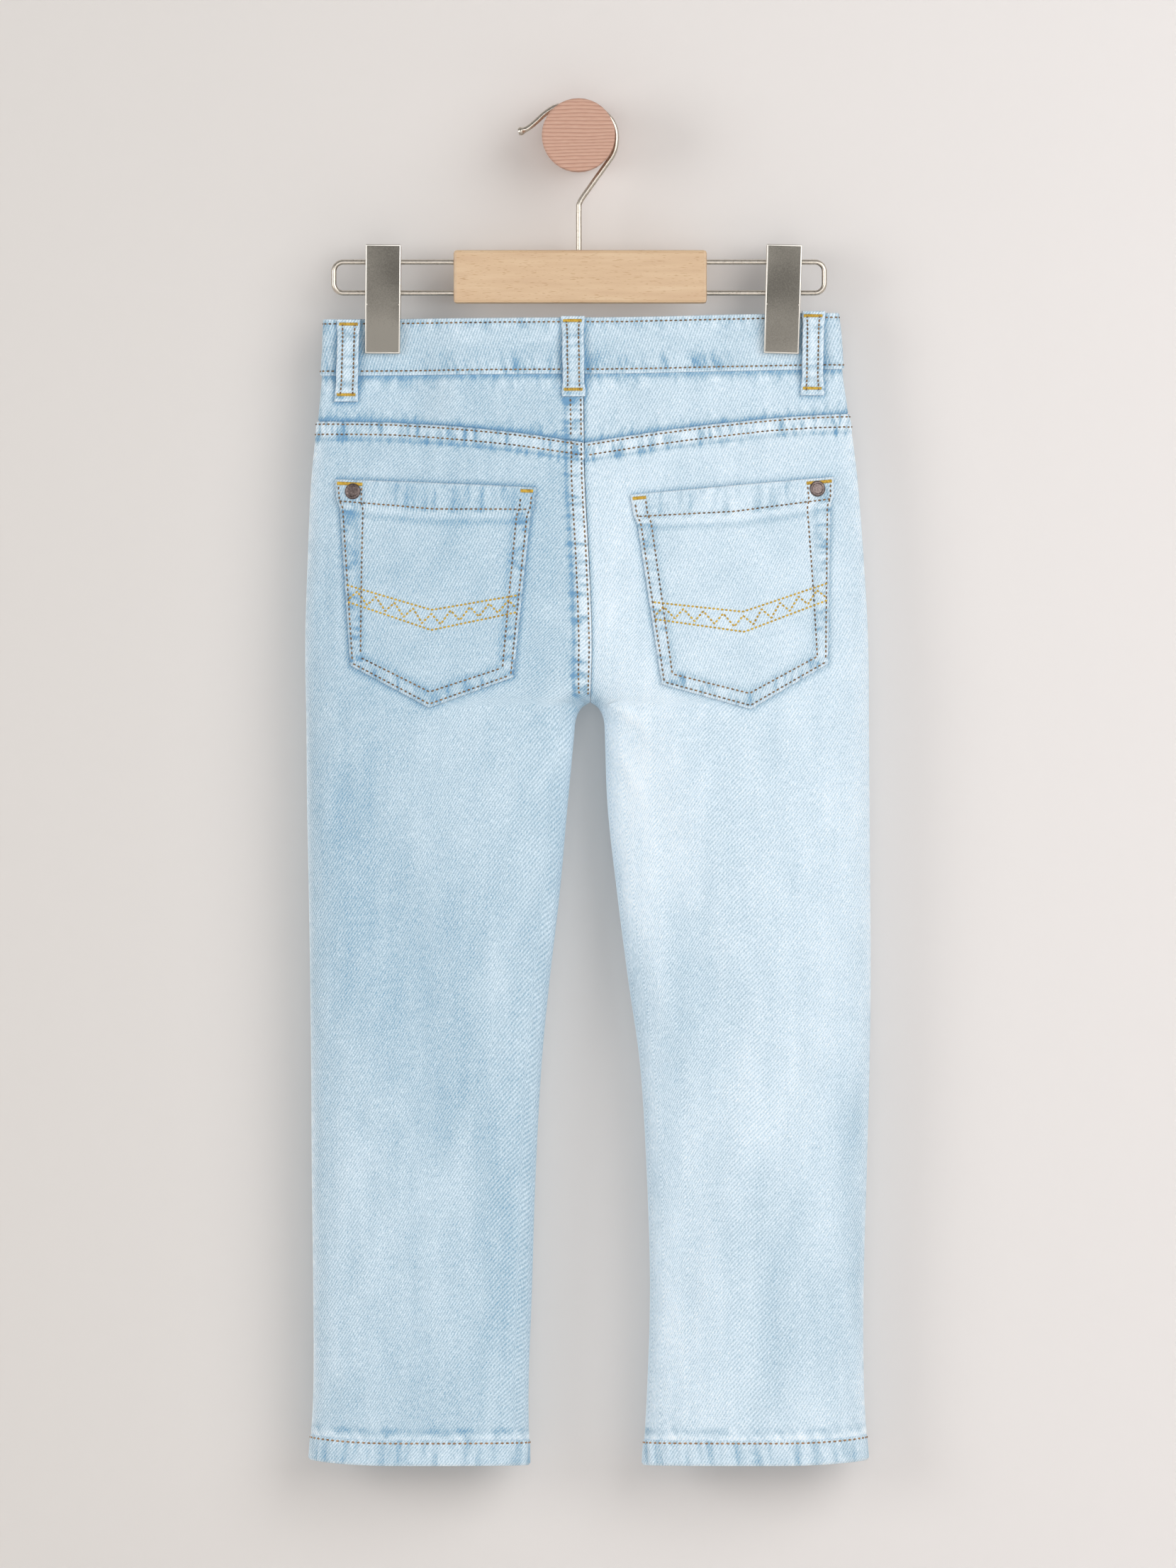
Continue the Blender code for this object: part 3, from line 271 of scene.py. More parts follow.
def surface(face, side, z, t, gap=SEAM_GAP):
    """Points of the outer cloth: t is 0 at the side seam and 1 at the centre seam or inseam."""
    centre, half_width, end_angle = section(face, side, z)
    quarter = math.pi / 2
    across = np.arccos((1 - t**COLUMN_SPREAD) ** (ROUNDNESS / 2)) / quarter
    angle = end_angle * mix(across, t, end_angle / quarter - 1)
    cosine, sine = np.cos(angle), np.maximum(0.0, np.sin(angle))
    x = centre + side * half_width * np.copysign(np.abs(cosine) ** (2 / ROUNDNESS), cosine)
    near_inner = np.exp(-np.abs(x - eased_inner_x(side, z)) / ARCH_REACH)
    y = half_depth(face, x, z, sine ** (2 / ROUNDNESS))
    x = x + (inner_x(side, z) - eased_inner_x(side, z)) * near_inner
    return np.stack([x + side * gap / 2, HANG_Y + face * (y + gap / 2), z], axis=-1)


def across_part(face, side, z, t):
    """How far x has gone from the side seam to the centre, for points at t."""
    z = z + np.zeros_like(t)
    x = surface(face, side, z, t, gap=0)[..., 0]
    outer = outer_x(side, z)
    return np.clip((outer - x) / (outer - inner_x(side, z)), 0.0, 1.0)


def yoke_seam(side, part):
    return YOKE_SIDE[side] + (YOKE_CENTRE - YOKE_SIDE[side]) * part ** YOKE_CURVE[side]


def hem_edge(t):
    """The height of the leg's bottom edge, t being 0 at the side seam and 1 at the inseam."""
    return SOLE_Z + HEM_SIDE_LIFT * (1 - smooth(t / 0.45))


def crowd(count, amount):
    """Shares from 0 to 1 in count steps, closer together towards both ends."""
    even = np.linspace(0.0, 1.0, count + 1)
    return even - amount * np.sin(math.tau * even) / math.tau


def cloudy(x, z, size_x, size_z, seed, octaves=2):
    """Soft irregular values about 0, with blots of the given sizes."""
    spots = zip((x / size_x).ravel(), (z / size_z).ravel())
    values = [noise.fractal((a, b, seed), 1.0, 2.0, octaves) for a, b in spots]
    return np.array(values).reshape(x.shape)


def outward_normals(points, outward):
    """Unit normals of a grid of points, turned to the side of outward at the grid's middle."""
    normals = np.cross(np.gradient(points, axis=1), np.gradient(points, axis=0))
    normals /= np.maximum(np.linalg.norm(normals, axis=2, keepdims=True), 1e-9)
    middle = normals[points.shape[0] // 2, points.shape[1] // 2]
    return normals * np.sign(np.dot(middle, outward))


def lengths(points, axis):
    """Distances along a grid's rows (axis 1) or columns (axis 0), from their start."""
    steps = np.linalg.norm(np.diff(points, axis=axis), axis=2)
    return np.concatenate([np.zeros_like(steps.take([0], axis)), np.cumsum(steps, axis)], axis)


def linear(hex_colour):
    """An sRGB hex colour as linear RGBA."""
    channels = [int(hex_colour[k : k + 2], 16) / 255 for k in (0, 2, 4)]
    return (*(c / 12.92 if c <= 0.04045 else ((c + 0.055) / 1.055) ** 2.4 for c in channels), 1.0)


def add(tree, kind, inputs=None, stops=None, **settings):
    """A node with its settings, and its inputs set to values or linked to other nodes' sockets."""
    made = tree.nodes.new(kind)
    for name, value in settings.items():
        setattr(made, name, value)
    for name, value in (inputs or {}).items():
        if isinstance(value, bpy.types.NodeSocket):
            tree.links.new(value, made.inputs[name])
        else:
            made.inputs[name].default_value = value
    if stops:
        elements = made.color_ramp.elements
        while len(elements) < len(stops):
            elements.new(0.5)
        for element, (place, hex_colour) in zip(elements, stops):
            element.position = place
            element.color = linear(hex_colour)
    return made


def new_material(name):
    """An empty Principled material: its node tree and its shader."""
    made = bpy.data.materials.new(name)
    made.use_nodes = True
    return made, made.node_tree, made.node_tree.nodes["Principled BSDF"]


def meshed(name, bm):
    """A mesh from a bmesh, which is freed."""
    mesh = bpy.data.meshes.new(name)
    bm.to_mesh(mesh)
    bm.free()
    return mesh


def placed(name, mesh):
    """A mesh's object, linked to the scene."""
    piece = bpy.data.objects.new(name, mesh)
    bpy.context.scene.collection.objects.link(piece)
    return piece


# Bleached indigo denim, woven as a 3x1 right-hand twill: blue warp with the white weft showing between it.
# The wales are about 1.1 mm apart on the real cloth. They are drawn at 1.5 mm, the finest that the picture
# shows, with slubs of 1 by 3 mm and a grain of 0.9 mm.
WALE = 0.0015
WALE_ANGLE = math.radians(56)
SLUBS_PER_METRE = (960, 330, 1)
GRAINS_PER_METRE = 1100
CLOUDS_PER_METRE = 55
# A wave texture's bands are this far apart at a scale of 1
WAVE_PERIOD = math.tau / 20
denim, tree, shader = new_material("bleached_indigo_denim_twill")
weave = add(tree, "ShaderNodeTexCoord").outputs["UV"]
place = add(tree, "ShaderNodeTexCoord").outputs["Object"]
# The cloth's dye from blue at 0 to white at 1, with painted shade and painted light in it
fade = add(tree, "ShaderNodeAttribute", attribute_name="fade").outputs["Fac"]
leaning = add(tree, "ShaderNodeMapping", {"Vector": weave, "Rotation": (0, 0, -WALE_ANGLE)}).outputs[0]
wales = add(
    tree,
    "ShaderNodeTexWave",
    {
        "Vector": leaning,
        "Scale": WAVE_PERIOD / WALE,
        "Distortion": 1.6,
        "Detail": 2.0,
        "Detail Scale": 0.35,
    },
    wave_type="BANDS",
    bands_direction="Y",
).outputs["Fac"]
warp_slub = add(tree, "ShaderNodeMapping", {"Vector": weave, "Scale": SLUBS_PER_METRE}).outputs[0]
slub = add(tree, "ShaderNodeTexNoise", {"Vector": warp_slub, "Scale": 1.0, "Detail": 3.0}).outputs["Fac"]
grains = {"Vector": weave, "Scale": GRAINS_PER_METRE, "Detail": 2.0}
grain = add(tree, "ShaderNodeTexNoise", grains).outputs["Fac"]
blots = {"Vector": place, "Scale": CLOUDS_PER_METRE, "Detail": 4.0}
clouds = add(tree, "ShaderNodeTexNoise", blots).outputs["Fac"]
level = fade
for amount, part in ((0.3, wales), (0.66, slub), (0.74, grain), (0.12, clouds)):
    centred = add(tree, "ShaderNodeMath", {0: part, 1: 0.5}, operation="SUBTRACT").outputs[0]
    weighed = {0: centred, 1: amount, 2: level}
    level = add(tree, "ShaderNodeMath", weighed, operation="MULTIPLY_ADD").outputs[0]
dyed = add(
    tree,
    "ShaderNodeValToRGB",
    {"Fac": level},
    stops=[(0.0, "719EC2"), (0.25, "99BACF"), (0.5, "BFD4E1"), (0.75, "DAECF9"), (1.0, "F3FBFF")],
).outputs["Color"]
raised = {0: wales, 1: 0.35, 2: slub}
weave_height = add(tree, "ShaderNodeMath", raised, operation="MULTIPLY_ADD").outputs[0]
weave_bump = add(tree, "ShaderNodeBump", {"Strength": 0.4, "Distance": 0.00014, "Height": weave_height})
tree.links.new(dyed, shader.inputs["Base Color"])
tree.links.new(weave_bump.outputs["Normal"], shader.inputs["Normal"])
shader.inputs["Roughness"].default_value = 0.9
shader.inputs["Specular IOR Level"].default_value = 0.25
shader.inputs["Sheen Weight"].default_value = 0.12
shader.inputs["Sheen Roughness"].default_value = 0.5

# The same twill's wrong side, which shows the white weft and hardly any blue
denim_inside, tree, shader = new_material("denim_weft_side")
weave = add(tree, "ShaderNodeTexCoord").outputs["UV"]
weft_slub = add(tree, "ShaderNodeMapping", {"Vector": weave, "Scale": (120, 600, 1)}).outputs[0]
slub = add(tree, "ShaderNodeTexNoise", {"Vector": weft_slub, "Scale": 1.0, "Detail": 3.0}).outputs["Fac"]
weft_tones = [(0.3, "B9CBD8"), (0.5, "D6E0E6"), (0.7, "E6EBEC")]
pale = add(tree, "ShaderNodeValToRGB", {"Fac": slub}, stops=weft_tones).outputs["Color"]
tree.links.new(pale, shader.inputs["Base Color"])
shader.inputs["Roughness"].default_value = 0.92
shader.inputs["Specular IOR Level"].default_value = 0.2

Cloth = namedtuple("Cloth", "piece across down points normals")


def cloth(name, across, down, points, outward, height, dyes_and_shades, wall, weave_side, turn=0.0, closed=False):
    """A cloth wall over a grid of points, raised by height along its normals.

    The map from blue to white colours it, 0 being blue and 1 white: the cloth's dye, with painted shade and
    painted light in many places. weave_side is 1 where the rows run to the right as seen from outside, else
    -1.
    turn leans the weave by an angle. closed joins the last column to the first.
    """
    normals = outward_normals(points, outward)
    final = points + normals * height[..., None]
    bm = bmesh.new()
    bmesh.ops.create_grid(bm, x_segments=len(across) - 1, y_segments=len(down) - 1, size=0.5)
    mesh = meshed(name, bm)
    flat = np.empty(len(mesh.vertices) * 3)
    mesh.vertices.foreach_get("co", flat)
    column = np.rint((flat[0::3] + 0.5) * (len(across) - 1)).astype(int)
    row = np.rint((0.5 - flat[1::3]) * (len(down) - 1)).astype(int)
    mesh.vertices.foreach_set("co", (final[row, column] * MM).ravel())
    rightward, downward = np.gradient(final, axis=1), np.gradient(final, axis=0)
    middle = (final.shape[0] // 2, final.shape[1] // 2)
    if np.dot(np.cross(rightward[middle], downward[middle]), normals[middle]) > 0:
        mesh.flip_normals()
    u = lengths(points, 1) * MM * weave_side
    v = -lengths(points, 0) * MM
    u, v = u * math.cos(turn) - v * math.sin(turn), u * math.sin(turn) + v * math.cos(turn)
    corners = np.empty(len(mesh.loops), int)
    mesh.loops.foreach_get("vertex_index", corners)
    at = (row[corners], column[corners])
    mesh.uv_layers.new(name="weave").data.foreach_set("uv", np.stack([u[at], v[at]], 1).ravel())
    # The colour map carries painted shade and painted light along with the dye
    mesh.attributes.new("fade", "FLOAT", "POINT").data.foreach_set("value", dyes_and_shades[row, column])
    if closed:
        bm = bmesh.new()
        bm.from_mesh(mesh)
        bmesh.ops.remove_doubles(bm, verts=bm.verts, dist=1e-6)
        bm.to_mesh(mesh)
        bm.free()
    mesh.shade_smooth()
    mesh.materials.append(denim)
    mesh.materials.append(denim_inside)
    piece = placed(name, mesh)
    thick = piece.modifiers.new("wall", "SOLIDIFY")
    thick.thickness = wall * MM
    thick.offset = -1.0
    thick.material_offset = 1
    thick.material_offset_rim = 0
    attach(piece, "root")
    return Cloth(piece, across, down, final, normals)


SEAM_RAISE = 0.6
SEAM_SHOULDER = 1.1
SEAM_ROWS = (1.7, -1.6)
ROW_DENT = 0.9


def dye_and_shade_of_folds(gathers):
    """The colour change over gathered cloth: hollows are bluer, partly dye kept there and partly painted
    shade, and ridges are paler, partly rubbed and partly painted light.
    """
    return 0.12 * np.maximum(gathers, 0.0) - 0.7 * np.maximum(-gathers, 0.0)


def stitch_rows(width, rows=SEAM_ROWS):
    """Distances of a seam's rows of stitches from its edge: rows below 0 count back from its width."""
    return [row if row > 0 else width + row for row in rows]


def felled_seam(along, away, width, seed, rows=SEAM_ROWS):
    """Height and colour of a seam folded over and sewn flat: a raised strip, dented at its rows of stitches
    and gathered between them, with a painted shadow just beyond the strip's edge. away is the distance from
    the strip's edge."""
    strip = 1 - smooth((away - width) / SEAM_SHOULDER)
    near = 1 - smooth((away - width - 1.5) / 5)
    gathers = cloudy(along, away, 2.7, 14.0, seed, 2) * near
    dents = sum(bump((away - row) / ROW_DENT) for row in stitch_rows(width, rows))
    # A painted shadow on the cloth just beyond the strip's raised edge
    shade = bump((away - width - 1.3) / 1.3)
    rounded = 1 - smooth(away / SEAM_SHOULDER)
    height = SEAM_RAISE * strip * (1 - rounded) + 0.62 * gathers - 0.2 * dents
    fade = dye_and_shade_of_folds(gathers) * (1.1 + 0.1 * strip) + 0.06 * strip + 0.1 * rounded - 0.3 * shade
    return height, fade


# Paler and bluer patches: x, z, reach in x and z, change. They are stone washing's marks, and on the seat
# side they also follow its folds, as painted light on the ridges and painted shade in the troughs. The
# colour runs from blue at 0 to white at 1, and the right leg is the paler one, partly by its dye and partly
# as painted light from the right.
WASH_BLUE = 0.48
RIGHT_PALER = 0.17
SHIN_PALER = 0.02
WASH_AND_SHADE = {
    BACK: [
        (-130, -430, 24, 100, -0.12),
        (-88, -515, 26, 70, -0.10),
        (-50, -650, 22, 90, -0.08),
        (-68, -385, 36, 50, 0.05),
        (-130, -620, 28, 90, 0.05),
        (-20, -262, 14, 70, -0.06),
        (40, -395, 22, 70, 0.14),
        (150, -450, 20, 80, 0.08),
        (59, -515, 26, 50, -0.12),
        (110, -575, 36, 60, 0.04),
        (58, -730, 22, 60, 0.04),
        (120, -690, 30, 70, -0.14),
        (163, -640, 14, 90, -0.14),
        (18, -262, 12, 60, 0.08),
    ],
    FRONT: [
        (-95, -430, 45, 130, 0.18),
        (95, -430, 45, 130, 0.18),
        (-90, -700, 50, 60, 0.06),
        (90, -700, 50, 60, 0.06),
        (0, -250, 40, 70, -0.06),
    ],
}


def washed_and_shaded(face, x, z):
    """The colour of a face before its seams and creases: dye and wash marks, with painted light and shade.
    """
    fade = WASH_BLUE + RIGHT_PALER * smooth(x / 6 + 0.5) + SHIN_PALER * smooth((-z - 560) / 160)
    for middle_x, middle_z, reach_x, reach_z, change in WASH_AND_SHADE[face]:
        fade = fade + change * bump((x - middle_x) / reach_x) * bump((z - middle_z) / reach_z)
    fade = fade + 0.05 * cloudy(x, z, 26.0, 60.0, 3.1 + face, 3)
    return fade + 0.05 * cloudy(x, z, 5.0, 40.0, 5.3 + face, 2)


def crumple(face, x, z):
    """The fine unevenness of cloth that was laundered and not pressed, mostly in upright creases."""
    lines = fold_height(CREASES, face, x, z)
    waves = lines + 0.5 * cloudy(x, z, 15.0, 46.0, 7.7 + face, 3)
    return waves + 0.25 * cloudy(x, z, 7.0, 9.0, 11.3 + face, 2)


# The back pockets' corners, from the outer end of the mouth round. The panel lies flat under them.
POCKETS = {
    LEFT: ((-142.2, -203.4), (-26.6, -208.4), (-38.4, -320.6), (-88.2, -338.8), (-134.8, -313.6)),
    RIGHT: ((149.2, -202.0), (32.2, -212.8), (49.2, -324.8), (101.8, -339.6), (147.4, -312.8)),
}
POCKET_MARGIN = 2


def under_pocket(x, z):
    """1 under the middle of a back pocket, 0 outside its edges."""
    inside = np.zeros_like(x)
    for corners in POCKETS.values():
        xs, zs = [c[0] for c in corners], [c[1] for c in corners]
        near = np.minimum(x - min(xs), max(xs) - x) + POCKET_MARGIN
        above, below = z - min(zs) + POCKET_MARGIN, max(zs) - z + POCKET_MARGIN
        reach = 2 * POCKET_MARGIN
        inside = np.maximum(inside, smooth(near / reach) * smooth(above / reach) * smooth(below / reach))
    return inside


def from_outline(x, z, corners):
    """Distances of points in the hanging plane from a closed outline."""
    nearest = np.full_like(x, np.inf)
    for (from_x, from_z), (to_x, to_z) in zip(corners, corners[1:] + corners[:1]):
        run_x, run_z = to_x - from_x, to_z - from_z
        share = np.clip(((x - from_x) * run_x + (z - from_z) * run_z) / (run_x**2 + run_z**2), 0.0, 1.0)
        nearest = np.minimum(nearest, np.hypot(x - from_x - share * run_x, z - from_z - share * run_z))
    return nearest


CENTRE_STRIP = 9.5
YOKE_STRIP = 9.4
HEM_TUCK = 1.4
HEM_SINK = 0.9
BACK_COLUMNS = 124
BACK_ROWS = 286
backs = {}
for side in (LEFT, RIGHT):
    name = SIDE_NAMES[side]
    t, share = np.meshgrid(crowd(BACK_COLUMNS, 0.45), crowd(BACK_ROWS, 0.35))
    top = yoke_seam(side, across_part(BACK, side, YOKE_CENTRE, t)) - SEAM_GAP / 2
    low = hem_edge(t) + HEM_HEIGHT - HEM_TUCK
    z = mix(top, low, share)
    points = surface(BACK, side, z, t)
    x = points[..., 0]
    from_side = lengths(points, 1)
    from_inner = from_side[:, -1:] - from_side
    from_top = lengths(points, 0)
    from_low = from_top[-1:, :] - from_top
    above_crotch = smooth((z - CROTCH_Z - 1) / 6)
    free = smooth(from_side / 12) * smooth(from_inner / 10) * (1 - 0.85 * under_pocket(x, z))
    height = crumple(BACK, x, z) * free * smooth(from_low / 6)
    # Raised places are painted paler and low places bluer: partly worn dye, partly painted light and shade
    dyes_and_shades = washed_and_shaded(BACK, x, z) + 0.10 * height
    seam_height, seam_fade = felled_seam(x, from_top, YOKE_STRIP, 20.0 + side)
    height, dyes_and_shades = height + seam_height * smooth(from_side / 2), dyes_and_shades + seam_fade
    if side == LEFT:
        seam_height, seam_fade = felled_seam(z, from_inner, CENTRE_STRIP, 31.0)
        height, dyes_and_shades = height + seam_height * above_crotch, dyes_and_shades + seam_fade * above_crotch
    else:
        # A painted shadow beside the centre seam, where the left panel's strip stands over this one
        dyes_and_shades = dyes_and_shades - 0.42 * bump(from_inner / 1.8) * above_crotch
        gathers = cloudy(z, from_inner, 4.0, 9.0, 33.0)
        height = height + 0.35 * gathers * (1 - smooth(from_inner / 9)) * above_crotch
    # Gathers by the side seam: paler ridges, bluer hollows, partly worn dye and partly painted light and
    # shade
    # Painted light on the rolled side and inner edges, stronger on the left
    gathers = cloudy(z, from_side, 4.0, 9.0, 40.0 + side) * (1 - smooth(from_side / 8))
    dyes_and_shades = dyes_and_shades + 0.3 * gathers + (0.19 - 0.09 * side) * (1 - smooth(from_side / 12))
    dyes_and_shades = dyes_and_shades + 0.08 * (1 - smooth(from_inner / 4))
    # The gathers above the hem are painted the same way
    gathers = cloudy(x + 0.5 * z, from_low, 4.2, 12.0, 44.0 + side) * (1 - smooth(from_low / 14))
    height = height + 0.3 * gathers * smooth(from_low / 2) - HEM_SINK * (1 - smooth(from_low / 2.2))
    broken = 0.6 + 1.2 * cloudy(x, from_low, 9.0, 30.0, 47.0 + side)
    dyes_and_shades = dyes_and_shades + 0.35 * gathers + 0.14 * bump((from_low - 2.6) / 2.0)
    dyes_and_shades = dyes_and_shades - 0.2 * broken * bump((from_low - 6.9) / 1.8)
    # Painted shadows round the pocket's edges and in the crotch
    dyes_and_shades = dyes_and_shades - 0.3 * bump(from_outline(x, z, POCKETS[side]) / 2.0)
    dyes_and_shades = dyes_and_shades - 0.3 * bump((x - 6) / 10) * bump((z - CROTCH_Z - 1) / 8)
    height = height - 0.25 * under_pocket(x, z)
    outward = (0, BACK, 0)
    across, down = t[0], share[:, 0]
    made = cloth(f"back_{name}", across, down, points, outward, height, dyes_and_shades, PANEL_WALL, side * BACK)
    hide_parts(*(f"back_{name}_{part}" for part in PANEL_PARTS))
    backs[side] = made

# Spun polyester thread, tobacco brown in the long seams, tan in the hems and golden in the tacks and
# figures. Each stitch is its own small rounded lozenge, because a row reads as separate beads of thread.
THREAD_LOOKS = {
    "brown": ("47382C", "9A784F"),
    "tan": ("75573C", "BC9166"),
    "gold": ("AE861C", "E4BC42"),
}
thread = {}
for tone, (dark, pale) in THREAD_LOOKS.items():
    thread[tone], tree, shader = new_material(f"spun_thread_{tone}")
    shade = add(tree, "ShaderNodeAttribute", attribute_name="shade").outputs["Fac"]
    place = add(tree, "ShaderNodeTexCoord").outputs["Object"]
    plies = add(tree, "ShaderNodeTexNoise", {"Vector": place, "Scale": 2200, "Detail": 1.0}).outputs["Fac"]
    both = add(tree, "ShaderNodeMath", {0: plies, 1: 0.5, 2: shade}, operation="MULTIPLY_ADD").outputs[0]
    tones = [(0.35, dark), (0.95, pale)]
    colour = add(tree, "ShaderNodeValToRGB", {"Fac": both}, stops=tones).outputs["Color"]
    tree.links.new(colour, shader.inputs["Base Color"])
    shader.inputs["Roughness"].default_value = 0.62
    shader.inputs["Sheen Weight"].default_value = 0.2

STITCH = 2.0
STITCH_GAP = 0.9
THREAD_WIDTH = 1.1
THREAD_HEIGHT = 0.5
THREAD_LIFT = 0.08
THREAD_WOBBLE = 5
THREAD_TINTS = (0.15, 0.75)


def on_cloth(made, u, v):
    """Points and normals of a finished cloth at shares u across and v down."""
    column = np.interp(u, made.across, np.arange(len(made.across)))
    row = np.interp(v, made.down, np.arange(len(made.down)))
    c = np.minimum(column.astype(int), len(made.across) - 2)
    r = np.minimum(row.astype(int), len(made.down) - 2)
    a, b = (column - c)[:, None], (row - r)[:, None]
    found = []
    for grid in (made.points, made.normals):
        high = (1 - a) * grid[r, c] + a * grid[r, c + 1]
        low = (1 - a) * grid[r + 1, c] + a * grid[r + 1, c + 1]
        found.append((1 - b) * high + b * low)
    return found


def stitches(name, paths, tone, step=STITCH + STITCH_GAP, long=STITCH, wide=THREAD_WIDTH, tacked=False):
    """Rows of thread along paths, each a pair of arrays: points on the cloth and the cloth's normals.

    tacked lays each stitch across its path, as the close zigzag of a bar tack does.
    """
    chance = random.Random(name)
    bm = bmesh.new()
    tints = []
    for points, normals in paths:
        run = np.concatenate([[0.0], np.cumsum(np.linalg.norm(np.diff(points, axis=0), axis=1))])
        middles = (np.arange(int(run[-1] / step)) + 0.5) * step
        places = (points, middles), (points, middles - 0.5), (points, middles + 0.5), (normals, middles)
        sampled = [
            np.stack([np.interp(where, run, grid[:, axis]) for axis in range(3)], 1)
            for grid, where in places
        ]
        for centre, before, after, normal in zip(*sampled):
            centre, normal = Vector(centre), Vector(normal).normalized()
            along = Vector(after) - Vector(before)
            along = (along - normal * along.dot(normal)).normalized()
            if tacked:
                along = along.cross(normal)
            turn = Matrix((along, normal.cross(along), normal)).transposed().to_4x4()
            lean = math.radians(chance.uniform(-THREAD_WOBBLE, THREAD_WOBBLE))
            wobble = Matrix.Rotation(lean, 4, "Z")
            size = Matrix.Diagonal((long / 2 * MM, wide / 2 * MM, THREAD_HEIGHT * MM, 1.0))
            here = Matrix.Translation((centre + normal * THREAD_LIFT) * MM) @ turn @ wobble @ size
            bmesh.ops.create_uvsphere(bm, u_segments=6, v_segments=4, radius=1.0, matrix=here)
            tints.append(chance.uniform(*THREAD_TINTS))
    mesh = meshed(name, bm)
    shades = np.repeat(tints, len(mesh.vertices) // len(tints))
    mesh.attributes.new("shade", "FLOAT", "POINT").data.foreach_set("value", shades)
    mesh.shade_smooth()
    mesh.materials.append(thread[tone])
    piece = placed(name, mesh)
    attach(piece, "root")
    return piece


def down_share(made, distance, from_low=False):
    """The share down each column of a cloth at a distance from its top edge, or from its low edge."""
    run = lengths(made.points, 0)
    reach = run[-1] - distance if from_low else np.full(run.shape[1], distance)
    return np.array([np.interp(reach[c], run[:, c], made.down) for c in range(run.shape[1])])


def across_share(made, distance, from_start=False):
    """The share across each row of a cloth at a distance from its last column, or from its first."""
    run = lengths(made.points, 1)
    reach = np.full(len(run), distance) if from_start else run[:, -1] - distance
    return np.array([np.interp(reach[r], run[r], made.across) for r in range(len(run))])


def centre_rows(made, shown):
    """The two rows along a left piece's centre seam, over the rows of its grid that are shown."""
    rows = stitch_rows(CENTRE_STRIP)
    return [on_cloth(made, across_share(made, row)[shown], made.down[shown]) for row in rows]


for side, made in backs.items():
    name = SIDE_NAMES[side]
    rows = [on_cloth(made, made.across, down_share(made, row)) for row in stitch_rows(YOKE_STRIP)]
    if side == LEFT:
        rows += centre_rows(made, made.points[:, -1, 2] > CROTCH_Z + 1)
    sewn = stitches(f"seam_stitching_back_{name}", rows, "brown")

# The shaped yoke between the waistband and the back panels, in two halves. It lies under the panels' folded
# strip, and the left half is folded over the right as the panels are.
BAND_TOP_SIDE = {LEFT: -108.4, RIGHT: -104.6}
BAND_TOP_CENTRE = -107.4
BAND_HEIGHT = 33.6
FRONT_DIP = 8.0
YOKE_SINK = 0.4
YOKE_TUCK = 3.0
YOKE_COLUMNS = 118
YOKE_ROWS = 40


def band_top(face, side, part):
    """The waistband's top edge, part being 0 at the side seam and 1 at the centre."""
    dip = FRONT_DIP * smooth(part) if face == FRONT else 0.0
    return mix(BAND_TOP_SIDE[side], BAND_TOP_CENTRE, smooth(part)) - dip


Loop = namedtuple("Loop", "name face x_top x_low z_top z_low")
LOOPS = [
    Loop("back_left", BACK, -136.0, -137.6, -108.6, -157.4),
    Loop("back_centre", BACK, -3.4, -2.8, -106.8, -154.6),
    Loop("back_right", BACK, 139.2, 138.6, -103.6, -153.6),
    Loop("front_left", FRONT, -78.0, -79.0, -114.0, -160.0),
    Loop("front_right", FRONT, 82.0, 83.0, -112.6, -158.6),
]
LOOP_WIDTH = 12.8


def painted_loop_shadow(face, x, z):
    """1 at the edges of a face's belt loops, where the cloth gets a painted shadow, falling to 0."""
    near = np.zeros_like(x)
    for loop in LOOPS:
        if loop.face == face:
            half = LOOP_WIDTH / 2
            corners = ((loop.x_top - half, loop.z_top), (loop.x_top + half, loop.z_top))
            corners += ((loop.x_low + half, loop.z_low), (loop.x_low - half, loop.z_low))
            near = np.maximum(near, bump(from_outline(x, z, corners) / 2.3))
    return near


